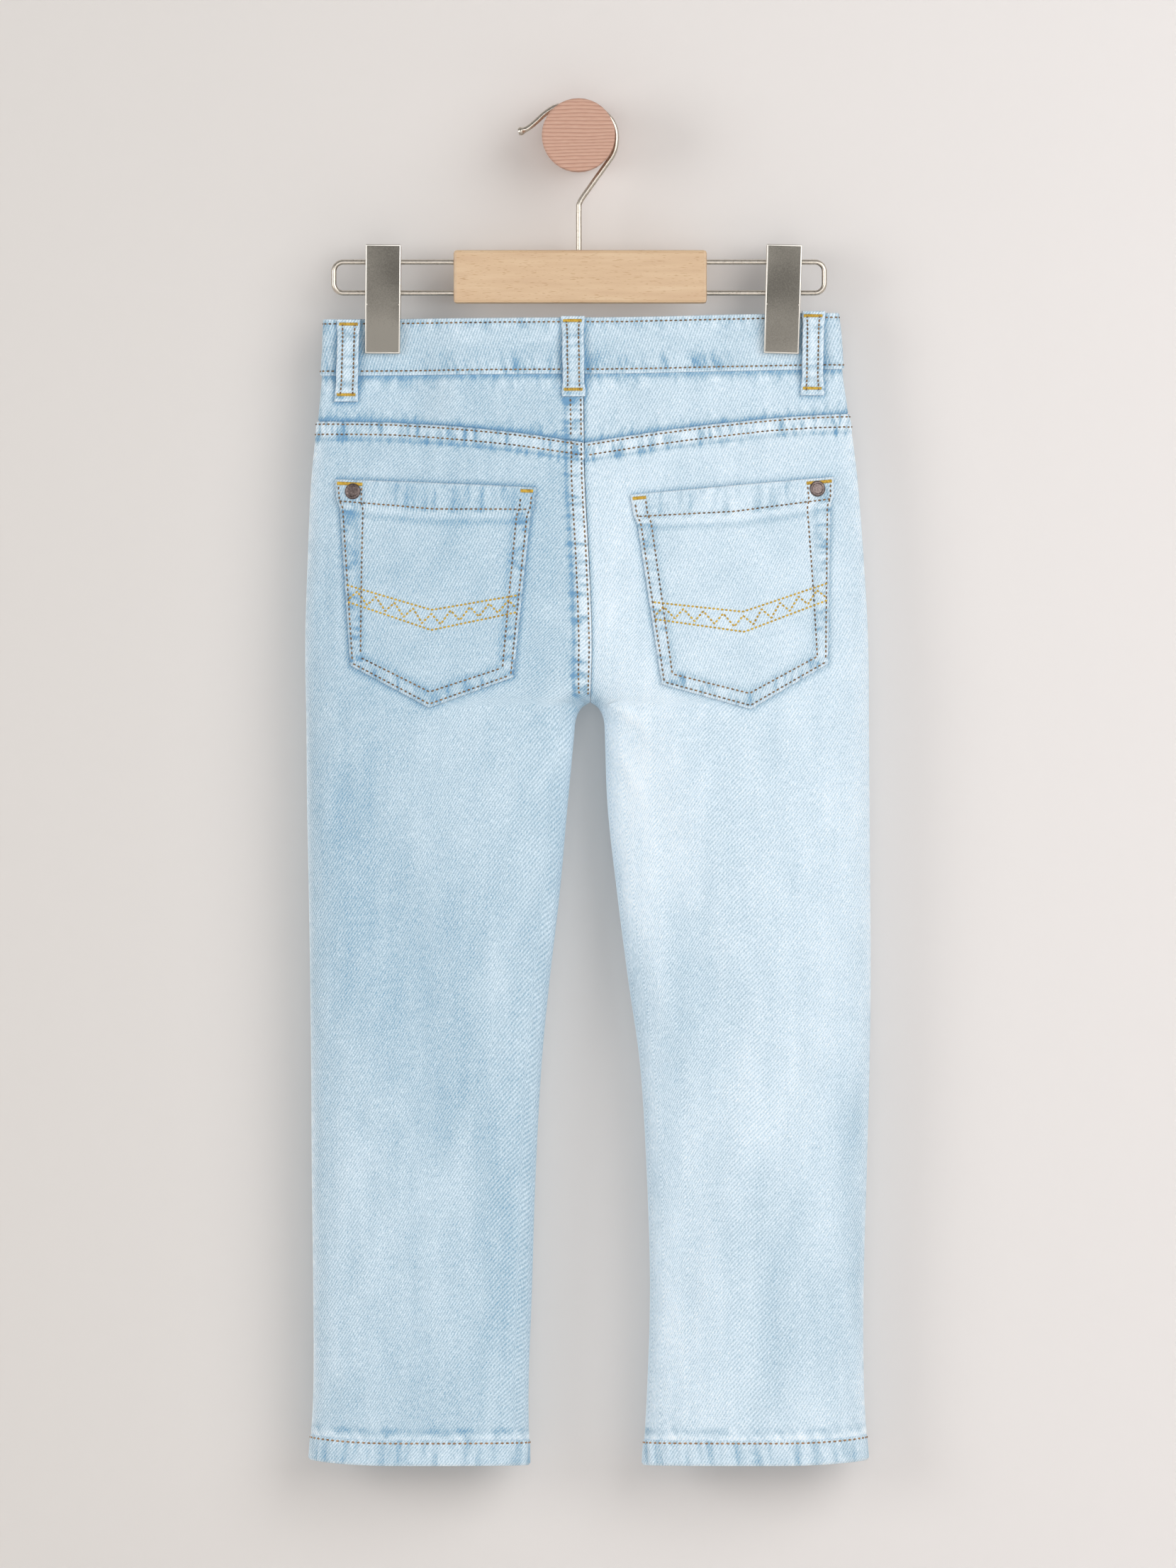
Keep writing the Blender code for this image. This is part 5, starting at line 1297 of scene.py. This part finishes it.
antique, tree, shader = new_material("antique_copper_plate")
place = add(tree, "ShaderNodeTexCoord").outputs["Object"]
mottle = add(tree, "ShaderNodeTexNoise", {"Vector": place, "Scale": 900, "Detail": 4.0}).outputs["Fac"]
smoky_tones = [(0.3, "5E524F"), (0.55, "7D716E"), (0.75, "A2928B")]
smoky = add(tree, "ShaderNodeValToRGB", {"Fac": mottle}, stops=smoky_tones).outputs["Color"]
dull = add(tree, "ShaderNodeMapRange", {"Value": mottle, "To Min": 0.32, "To Max": 0.55}).outputs[0]
relief = {"Strength": 0.25, "Distance": 0.0001, "Height": mottle}
pits = add(tree, "ShaderNodeBump", relief).outputs["Normal"]
tree.links.new(smoky, shader.inputs["Base Color"])
tree.links.new(dull, shader.inputs["Roughness"])
tree.links.new(pits, shader.inputs["Normal"])
shader.inputs["Metallic"].default_value = 1.0


def turned(name, profile, foot, direction, finish, steps=48):
    """A closed solid from (radius, height) points, turned about an axis that leaves foot in a direction."""
    bm = bmesh.new()
    verts = [bm.verts.new((radius, 0, height)) for radius, height in profile]
    edges = [bm.edges.new(pair) for pair in zip(verts, verts[1:])]
    circle = {"cent": (0, 0, 0), "axis": (0, 0, 1), "angle": math.tau, "steps": steps}
    bmesh.ops.spin(bm, geom=verts + edges, use_merge=True, **circle)
    bmesh.ops.remove_doubles(bm, verts=bm.verts, dist=0.0005)
    bmesh.ops.recalc_face_normals(bm, faces=bm.faces)
    turn = Vector(direction).to_track_quat("Z", "Y").to_matrix().to_4x4()
    bmesh.ops.transform(bm, matrix=Matrix.Scale(MM, 4) @ Matrix.Translation(foot) @ turn, verts=bm.verts)
    return finished(name, bm, finish)


def finished(name, bm, finish, sharp=40):
    """A piece from a bmesh that is already in place, smooth but for its sharp edges."""
    mesh = meshed(name, bm)
    mesh.shade_smooth()
    mesh.set_sharp_from_angle(angle=math.radians(sharp))
    mesh.materials.append(finish)
    piece = placed(name, mesh)
    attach(piece, "root")
    return piece


for side in (LEFT, RIGHT):
    x, z = (np.float64(value) for value in RIVET_AT[side])
    here = on_face(BACK, side, x, z)
    slope = (face_depth(BACK, side, x, z + 1) - face_depth(BACK, side, x, z - 1)) / 2
    tilt = (face_depth(BACK, side, x + 1, z) - face_depth(BACK, side, x - 1, z)) / 2
    out = Vector((-tilt, BACK, -slope)).normalized()
    corner = POCKETS[side][0]
    across = abs(x - corner[0]) / abs(POCKETS[side][1][0] - corner[0])
    down = (corner[1] - z) / (corner[1] - POCKETS[side][4][1])
    foot = Vector(here) + out * (pocket_stand(across, down) + POCKET_WALL + RIVET_CLEAR)
    made = turned(f"pocket_rivet_{SIDE_NAMES[side]}", RIVET_PROFILE, foot, out, antique)
    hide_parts(f"rivet_{SIDE_NAMES[side]}")
button_x = float(inner_x(RIGHT, np.float64(BAND_TOP_CENTRE))) + BUTTON_LAP - BUTTON_FROM_END
button_z = BAND_TOP_CENTRE - FRONT_DIP - BAND_HEIGHT / 2
foot = Vector(on_face(FRONT, RIGHT, np.float64(button_x), np.float64(button_z)))
foot.y += BAND_OUT * 2 + BAND_IN + SEAM_GAP * 2 + 0.1
made = turned("shank_button", BUTTON_PROFILE, foot, (0, FRONT, 0), antique)
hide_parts("waist_button")

# The wood bar: clear-lacquered beech, pale and even, with the short darker flecks of its rays along the
# grain
beech, tree, shader = new_material("lacquered_beech")
place = add(tree, "ShaderNodeTexCoord").outputs["Object"]
along_grain = add(tree, "ShaderNodeMapping", {"Vector": place, "Scale": (0.09, 1, 1)}).outputs[0]
bands = add(tree, "ShaderNodeTexNoise", {"Vector": along_grain, "Scale": 260, "Detail": 5.0}).outputs["Fac"]
beech_tones = [(0.3, "CDAC89"), (0.5, "D3B490"), (0.72, "DABE9B")]
wood = add(tree, "ShaderNodeValToRGB", {"Fac": bands}, stops=beech_tones).outputs["Color"]
fleck_grain = add(tree, "ShaderNodeMapping", {"Vector": place, "Scale": (0.13, 1, 1)}).outputs[0]
short = {"Vector": fleck_grain, "Scale": 2300, "Detail": 0.0}
dashes = add(tree, "ShaderNodeTexNoise", short).outputs["Fac"]
darkest = {"Value": dashes, "From Min": 0.68, "From Max": 0.80, "To Max": 0.6}
flecks = add(tree, "ShaderNodeMapRange", darkest).outputs[0]
fleck_mix = {0: flecks, 6: wood, 7: linear("B48A60")}
flecked = add(tree, "ShaderNodeMix", fleck_mix, data_type="RGBA").outputs[2]
relief = {"Strength": 0.15, "Distance": 0.0002, "Height": bands}
pores = add(tree, "ShaderNodeBump", relief).outputs["Normal"]
tree.links.new(flecked, shader.inputs["Base Color"])
tree.links.new(pores, shader.inputs["Normal"])
shader.inputs["Roughness"].default_value = 0.45
shader.inputs["Coat Weight"].default_value = 0.15
shader.inputs["Coat Roughness"].default_value = 0.3
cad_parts["wood_bar"].data.materials.clear()
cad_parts["wood_bar"].data.materials.append(beech)

# Hook and wire frames: 3 mm steel wire, plated with satin nickel that looks pale champagne. Each frame's
# two ends are pressed into the bar. The hook's stem goes up from the bar, kinks out and turns over the peg.
WIRE_RADIUS = 1.55
WIRE_HIGH_Z = -74.5
WIRE_LOW_Z = -92.8
WIRE_END_X = {LEFT: -144.9, RIGHT: 145.7}
WIRE_CORNER = 5.6
WIRE_SOCKET = 9.0
BAR_END_X = {LEFT: -73.9, RIGHT: 76.0}

nickel_wire, tree, shader = new_material("satin_nickel_wire")
place = add(tree, "ShaderNodeTexCoord").outputs["Object"]
drawn = add(tree, "ShaderNodeTexNoise", {"Vector": place, "Scale": 700, "Detail": 2.0}).outputs["Fac"]
dull = add(tree, "ShaderNodeMapRange", {"Value": drawn, "To Min": 0.24, "To Max": 0.34}).outputs[0]
wire_tones = [(0.3, "BCB4A8"), (0.7, "D2CABE")]
tone = add(tree, "ShaderNodeValToRGB", {"Fac": drawn}, stops=wire_tones).outputs["Color"]
tree.links.new(tone, shader.inputs["Base Color"])
tree.links.new(dull, shader.inputs["Roughness"])
shader.inputs["Metallic"].default_value = 1.0


def arc(centre_x, centre_z, radius, start_degrees, end_degrees, steps):
    """Points round a centre in the hanging plane, from +X towards +Z."""
    angles = np.radians(np.linspace(start_degrees, end_degrees, steps + 1))
    return [(centre_x + radius * math.cos(a), HANG_Y, centre_z + radius * math.sin(a)) for a in angles]


def bent_wire(name, points, radius, finish, swell=None):
    """A round wire along points, made a mesh with closed ends. swell scales it point by point."""
    data = bpy.data.curves.new(name, "CURVE")
    data.dimensions = "3D"
    data.bevel_depth = radius * MM
    data.bevel_resolution = 5
    data.use_fill_caps = True
    spline = data.splines.new("POLY")
    spline.points.add(len(points) - 1)
    for k, (at, point) in enumerate(zip(spline.points, points)):
        at.co = (*(Vector(point) * MM), 1)
        at.radius = swell[k] if swell else 1.0
    drawn_curve = bpy.data.objects.new(name + "_path", data)
    mesh = bpy.data.meshes.new_from_object(drawn_curve)
    bpy.data.objects.remove(drawn_curve)
    bm = bmesh.new()
    bm.from_mesh(mesh)
    bmesh.ops.remove_doubles(bm, verts=bm.verts, dist=1e-7)
    bmesh.ops.recalc_face_normals(bm, faces=bm.faces)
    return finished(name, bm, finish)


for side in (LEFT, RIGHT):
    inside = BAR_END_X[side] - side * WIRE_SOCKET
    corner_x = WIRE_END_X[side] - side * WIRE_CORNER
    if side == RIGHT:
        turn_high, turn_low = (90, 0), (0, -90)
    else:
        turn_high, turn_low = (90, 180), (180, 270)
    high = arc(corner_x, WIRE_HIGH_Z - WIRE_CORNER, WIRE_CORNER, *turn_high, 12)
    low = arc(corner_x, WIRE_LOW_Z + WIRE_CORNER, WIRE_CORNER, *turn_low, 12)
    path = [(inside, HANG_Y, WIRE_HIGH_Z), *high, *low, (inside, HANG_Y, WIRE_LOW_Z)]
    made = bent_wire(f"wire_frame_{SIDE_NAMES[side]}", path, WIRE_RADIUS, nickel_wire)
    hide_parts(f"wire_{SIDE_NAMES[side]}")

# The hook's middle line as x and z: stem, kink, round the peg's neck, and out to the swollen tip
HOOK_RADIUS = 1.65
HOOK_LINE = [(0.3, -79.2), (0.3, -60.0), (0.3, -44.0), (1.1, -38.6), (7.4, -29.3)]
HOOK_LINE += [(15.8, -17.6), (20.6, -10.4), (22.3, -3.4), (22.0, 3.8), (19.0, 10.4)]
HOOK_LINE += [(13.2, 15.2), (6.6, 17.2), (0.0, 17.5), (-7.0, 18.4), (-13.6, 17.3)]
HOOK_LINE += [(-19.6, 13.7), (-24.8, 9.0), (-29.4, 5.2), (-33.0, 3.4), (-35.6, 2.8)]
PER_STRETCH = 8
TIP_SWELL = 0.55
TIP_MIDDLE = 1.6
TIP_REACH = 1.5
line = np.array(HOOK_LINE)
held = np.concatenate([line[:1], line, line[-1:]])
path = []
for before, here, after, beyond in zip(held, held[1:], held[2:], held[3:]):
    pull = after - before
    bend = 2 * before - 5 * here + 4 * after - beyond
    twist = 3 * (here - after) + beyond - before
    for part in np.arange(PER_STRETCH) / PER_STRETCH:
        x, z = here + 0.5 * part * (pull + part * (bend + part * twist))
        path.append((x, HANG_Y, z))
tip_x, tip_z = line[-1]
path.append((tip_x, HANG_Y, tip_z))
swell = [1.0] * len(path)
for k in range(len(path) // 2 + 1, len(path)):
    swell[k] += TIP_SWELL * float(bump((path[k][0] - tip_x - TIP_MIDDLE) / TIP_REACH))
made = bent_wire("hanger_hook", path, HOOK_RADIUS, nickel_wire, swell)
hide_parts("hook")

# Clips: two plates of pressed steel each, plated with satin nickel, with painted highlights on their
# rounded edges and borders.
# The plates turn on the lower wire, and a spring coiled round it shuts the pads on the waistband.
CLIP_TILT = {LEFT: 0.5, RIGHT: 1.7}
CLIP_TOP = -64.4
CLIP_LOW = -129.0
CLIP_WIDTH = 21.0
JAW_HEIGHT = 11.0
SHEET_WALL = 1.2
JAW_GAP = PINCH_DEPTH + BAND_OUT + SEAM_GAP / 2 + 0.35
JAW_PAD = 2.2
HANDLE_OUT = 10.5
EAR_WALL = 1.1
EAR_INSET = {BACK: 0.4, FRONT: 1.9}
EAR_TIP = 4.0
EAR_ROOT = 9.2
EAR_BELOW = 7.5
EAR_ABOVE = 9.5
EAR_ROUND = 3.2
PLATE_ROUND = 0.55
# The inset border round each broad face, which gets the painted highlight
BROAD_AREA = 600
HIGHLIGHT_BORDER = 0.3
SPRING_RADIUS = 3.3
SPRING_WIRE = 0.75
SPRING_TURNS = 7
SPRING_STEPS = 20
SPRING_PITCH = 2.3
SPRING_LEG_RISE = 15.0
SPRING_LEG_OUT = 0.72
JAW_NAMES = {BACK: "seat", FRONT: "fly"}

nickel_plate, tree, shader = new_material("satin_nickel_plate")
place = add(tree, "ShaderNodeTexCoord").outputs["Object"]
specks = add(tree, "ShaderNodeTexNoise", {"Vector": place, "Scale": 1300, "Detail": 3.0}).outputs["Fac"]
cloud = add(tree, "ShaderNodeTexNoise", {"Vector": place, "Scale": 30, "Detail": 1.0}).outputs["Fac"]
both = add(tree, "ShaderNodeMath", {0: specks, 1: 0.5, 2: cloud}, operation="MULTIPLY_ADD").outputs[0]
z = add(tree, "ShaderNodeSeparateXYZ", {"Vector": place}).outputs["Z"]
# Paler towards the plates' lower ends
ends = {"Value": z, "From Min": -0.125, "From Max": -0.095, "To Min": 0.3, "To Max": 0.0}
paler_towards_foot = add(tree, "ShaderNodeMapRange", ends).outputs[0]
toned = add(tree, "ShaderNodeMath", {0: both, 1: paler_towards_foot}, operation="ADD").outputs[0]
plate_tones = [(0.45, "5E5B55"), (1.0, "86827A")]
flat = add(tree, "ShaderNodeValToRGB", {"Fac": toned}, stops=plate_tones).outputs["Color"]
# The rounded edges and inset borders get a painted highlight: paler and glossier
rim = add(tree, "ShaderNodeAttribute", attribute_name="rim").outputs["Fac"]
highlight_mix = {0: rim, 6: flat, 7: linear("DAD6CE")}
highlighted = add(tree, "ShaderNodeMix", highlight_mix, data_type="RGBA").outputs[2]
dull = add(tree, "ShaderNodeMapRange", {"Value": rim, "To Min": 0.42, "To Max": 0.3}).outputs[0]
relief = {"Strength": 0.15, "Distance": 0.0001, "Height": specks}
orange_peel = add(tree, "ShaderNodeBump", relief).outputs["Normal"]
tree.links.new(highlighted, shader.inputs["Base Color"])
tree.links.new(dull, shader.inputs["Roughness"])
tree.links.new(orange_peel, shader.inputs["Normal"])
shader.inputs["Metallic"].default_value = 1.0


def rounded_off(bm, edges, width, segments):
    """Round a pressed plate's edges."""
    rolled = {"offset": width, "segments": segments, "profile": 0.5, "affect": "EDGES", "material": -1}
    bmesh.ops.bevel(bm, geom=edges, **rolled)


def rolled_edges(bm, width, segments=3):
    """Round every sharp edge of a closed plate."""
    bmesh.ops.recalc_face_normals(bm, faces=bm.faces)
    rounded_off(bm, [edge for edge in bm.edges if edge.calc_face_angle(0) > 0.5], width, segments)


for side in (LEFT, RIGHT):
    name = SIDE_NAMES[side]
    middle, half = CLIP_X[side], CLIP_WIDTH / 2
    pivot = Vector((middle, HANG_Y, WIRE_LOW_Z))
    lean = Matrix.Translation(pivot) @ Matrix.Rotation(math.radians(CLIP_TILT[side]), 4, "Y")
    lean = Matrix.Scale(MM, 4) @ lean @ Matrix.Translation(-pivot)
    for face in (BACK, FRONT):
        jaw_out = JAW_GAP + JAW_PAD
        profile = [
            (jaw_out + SHEET_WALL, CLIP_LOW),
            (HANDLE_OUT + SHEET_WALL, CLIP_TOP),
            (HANDLE_OUT - 1.2, CLIP_TOP),
            (HANDLE_OUT - 1.2, CLIP_TOP - SHEET_WALL),
            (HANDLE_OUT - 0.2, CLIP_TOP - SHEET_WALL),
            (jaw_out + 0.9, CLIP_LOW + JAW_HEIGHT + 0.6),
            (JAW_GAP + 0.5, CLIP_LOW + JAW_HEIGHT),
            (JAW_GAP, CLIP_LOW + JAW_HEIGHT - 1.0),
            (JAW_GAP, CLIP_LOW + 0.8),
            (JAW_GAP + 0.6, CLIP_LOW),
        ]
        bm = bmesh.new()
        verts = [bm.verts.new((middle - half, HANG_Y + face * out, z)) for out, z in profile]
        grown = bmesh.ops.extrude_face_region(bm, geom=[bm.faces.new(verts)])
        moved = [item for item in grown["geom"] if isinstance(item, bmesh.types.BMVert)]
        bmesh.ops.translate(bm, vec=(CLIP_WIDTH, 0, 0), verts=moved)
        rolled_edges(bm, PLATE_ROUND)
        broad = [flat_face for flat_face in bm.faces if flat_face.calc_area() > BROAD_AREA]
        bmesh.ops.inset_individual(bm, faces=broad, thickness=HIGHLIGHT_BORDER, use_even_offset=True)
        for hand in (LEFT, RIGHT):
            near = middle + hand * (half - EAR_INSET[face])
            ear_middle = near - hand * EAR_WALL / 2
            tip_y, root_y = HANG_Y - face * EAR_TIP, HANG_Y + face * EAR_ROOT
            ear = bmesh.new()
            bmesh.ops.create_cube(ear, size=1.0)
            size = (EAR_WALL, abs(tip_y - root_y), EAR_BELOW + EAR_ABOVE)
            bmesh.ops.scale(ear, vec=size, verts=ear.verts)
            centre = (ear_middle, (tip_y + root_y) / 2, WIRE_LOW_Z + (EAR_ABOVE - EAR_BELOW) / 2)
            bmesh.ops.translate(ear, vec=centre, verts=ear.verts)
            corners = [
                edge
                for edge in ear.edges
                if all(abs(vert.co.y - tip_y) < 0.01 for vert in edge.verts)
                and abs(edge.verts[0].co.x - edge.verts[1].co.x) > 0.5
            ]
            rounded_off(ear, corners, EAR_ROUND, 6)
            rolled_edges(ear, 0.2, 2)
            shape = meshed("ear", ear)
            bm.from_mesh(shape)
            bpy.data.meshes.remove(shape)
        bmesh.ops.transform(bm, matrix=lean, verts=bm.verts)
        made = finished(f"clip_plate_{name}_{JAW_NAMES[face]}", bm, nickel_plate, 32)
        # Faces that get the painted highlight: the rolled edges and the thin inset borders
        highlight_faces = []
        for polygon in made.data.polygons:
            rolled = max(abs(part) for part in polygon.normal) < 0.97
            border = abs(polygon.normal.y) > 0.9 and polygon.area < 60 * MM**2
            highlight_faces.append(float(rolled or border))
        made.data.attributes.new("rim", "FLOAT", "FACE").data.foreach_set("value", highlight_faces)
        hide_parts(f"clip_{name}_{JAW_NAMES[face]}_jaw")
    coil = []
    for k in range(SPRING_TURNS * SPRING_STEPS + 1):
        angle = math.tau * k / SPRING_STEPS
        part = k / (SPRING_TURNS * SPRING_STEPS) - 0.5
        x = middle + part * SPRING_TURNS * SPRING_WIRE * SPRING_PITCH
        y = HANG_Y + SPRING_RADIUS * math.sin(angle)
        coil.append((x, y, WIRE_LOW_Z + SPRING_RADIUS * math.cos(angle)))
    legs = [
        (end[0], HANG_Y + face * HANDLE_OUT * SPRING_LEG_OUT, WIRE_LOW_Z + SPRING_LEG_RISE)
        for end, face in ((coil[0], BACK), (coil[-1], FRONT))
    ]
    path = [legs[0], *coil, legs[1]]
    made = bent_wire(f"clip_coil_spring_{name}", path, SPRING_WIRE, nickel_wire)
    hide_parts(f"clip_{name}_spring")

# The wall peg: bare softwood turned across the grain, so its round front shows the growth rings as lines
# that run level and bend a little. The late wood between them is pinker and harder.
RING = 0.0021
cedar, tree, shader = new_material("bare_turned_softwood")
place = add(tree, "ShaderNodeTexCoord").outputs["Object"]
leaned = {"Vector": place, "Scale": (0.3, 0.1, 1), "Rotation": (0, 0.04, 0)}
bending = add(tree, "ShaderNodeMapping", leaned).outputs[0]
rings = add(
    tree,
    "ShaderNodeTexWave",
    {
        "Vector": bending,
        "Scale": WAVE_PERIOD / RING,
        "Distortion": 5.5,
        "Detail": 1.0,
        "Detail Scale": 0.5,
    },
    wave_type="BANDS",
    bands_direction="Z",
    wave_profile="SAW",
).outputs["Fac"]
fibre = add(tree, "ShaderNodeMapping", {"Vector": place, "Scale": (0.12, 0.3, 1)}).outputs[0]
fibres = add(tree, "ShaderNodeTexNoise", {"Vector": fibre, "Scale": 1600, "Detail": 3.0}).outputs["Fac"]
late = add(tree, "ShaderNodeMath", {0: rings, 1: 2.5}, operation="POWER").outputs[0]
both = add(tree, "ShaderNodeMath", {0: fibres, 1: 0.8, 2: late}, operation="MULTIPLY_ADD").outputs[0]
peg_tones = [(0.3, "CDA692"), (0.8, "C19580"), (1.0, "B08572")]
wood = add(tree, "ShaderNodeValToRGB", {"Fac": both}, stops=peg_tones).outputs["Color"]
relief = {"Strength": 0.12, "Distance": 0.0001, "Height": late}
turning = add(tree, "ShaderNodeBump", relief).outputs["Normal"]
tree.links.new(wood, shader.inputs["Base Color"])
tree.links.new(turning, shader.inputs["Normal"])
shader.inputs["Roughness"].default_value = 0.62
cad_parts["wall_peg"].data.materials.clear()
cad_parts["wall_peg"].data.materials.append(cedar)

# The stage: a plain pale wall that carries the peg, and a floor below the picture. The wall is one-sided,
# so the fly side can be seen and lit from behind it.
WALL_SIZE = 7.0
FLOOR_Z = -1.0
plaster, tree, shader = new_material("stage_wall_paint")
place = add(tree, "ShaderNodeTexCoord").outputs["Object"]
# The wall is painted darker on the left and paler on the right: a painted falloff of the key light
x = add(tree, "ShaderNodeSeparateXYZ", {"Vector": place}).outputs["X"]
across = add(tree, "ShaderNodeMapRange", {"Value": x, "From Min": -0.4, "From Max": 0.4}).outputs[0]
painted_light_falloff = {0: across, 6: linear("DAD6D2"), 7: linear("E8E4E2")}
tone = add(tree, "ShaderNodeMix", painted_light_falloff, data_type="RGBA").outputs[2]
tree.links.new(tone, shader.inputs["Base Color"])
shader.inputs["Roughness"].default_value = 0.95
shader.inputs["Specular IOR Level"].default_value = 0.1
behind = add(tree, "ShaderNodeNewGeometry").outputs["Backfacing"]
lit_through = add(tree, "ShaderNodeLightPath").outputs["Is Shadow Ray"]
either = add(tree, "ShaderNodeMath", {0: behind, 1: lit_through}, operation="MAXIMUM").outputs[0]
clear = add(tree, "ShaderNodeBsdfTransparent").outputs[0]
one_sided = add(tree, "ShaderNodeMixShader", {0: either, 1: shader.outputs[0], 2: clear}).outputs[0]
tree.links.new(one_sided, tree.nodes["Material Output"].inputs["Surface"])
floor_paint, tree, shader = new_material("stage_floor_paint")
shader.inputs["Base Color"].default_value = linear("DFDBD8")
shader.inputs["Roughness"].default_value = 0.9


def stage_sheet(name, half_size, where, paint):
    """A flat square of the stage."""
    bm = bmesh.new()
    bmesh.ops.create_grid(bm, x_segments=1, y_segments=1, size=half_size)
    bmesh.ops.transform(bm, matrix=where, verts=bm.verts)
    mesh = meshed(name, bm)
    mesh.materials.append(paint)
    return placed(name, mesh)


upright = Matrix.Translation((0, 0, WALL_SIZE / 2 + FLOOR_Z)) @ Matrix.Rotation(math.radians(90), 4, "X")
wall = stage_sheet("stage_wall", WALL_SIZE / 2, upright, plaster)
floor = stage_sheet("stage_floor", WALL_SIZE, Matrix.Translation((0, 0, FLOOR_Z)), floor_paint)
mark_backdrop(wall, floor)

# Soft studio light: a large disc high on the right, a weaker one straight ahead, a fill on the left for the
# rolled side seams, and one behind the wall for the fly side, under an even pale surround.
LIGHT_AIM = Vector((0, -0.03, -0.42))
LIGHTS = [
    ("key", (1.8, -2.4, 0.6), 2.6, 47.0),
    ("front", (0.1, -3.4, -0.3), 1.6, 14.0),
    ("fill", (-2.4, -2.0, 0.0), 1.6, 24.0),
    ("behind", (-1.0, 2.1, 0.5), 1.8, 26.0),
]
for name, spot, size, power in LIGHTS:
    lamp = bpy.data.lights.new(name, "AREA")
    lamp.shape = "DISK"
    lamp.size = size
    lamp.energy = power
    holder = bpy.data.objects.new(name, lamp)
    holder.location = spot
    holder.rotation_euler = (LIGHT_AIM - Vector(spot)).to_track_quat("-Z", "Y").to_euler()
    bpy.context.scene.collection.objects.link(holder)
world = bpy.data.worlds.new("pale_surround")
world.use_nodes = True
world.node_tree.nodes["Background"].inputs["Color"].default_value = linear("F3F2F2")
world.node_tree.nodes["Background"].inputs["Strength"].default_value = 0.36
bpy.context.scene.world = world
bpy.context.scene.view_settings.view_transform = "Standard"

# A long lens, square to the wall and level with the thighs, so the peg shows no more than its round front
VIEW_MIDDLE = (0.00567, -0.3837)
VIEW_HEIGHT = 0.9290
VIEW_DISTANCE = 9.0
camera = bpy.data.objects.new("camera", bpy.data.cameras.new("camera"))
camera.location = (VIEW_MIDDLE[0], HANG_Y * MM - VIEW_DISTANCE, VIEW_MIDDLE[1])
camera.rotation_euler = (math.radians(90), 0, 0)
camera.data.sensor_width = 36.0
camera.data.lens = camera.data.sensor_width * VIEW_DISTANCE / VIEW_HEIGHT
bpy.context.scene.collection.objects.link(camera)
bpy.context.scene.camera = camera

low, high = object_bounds()
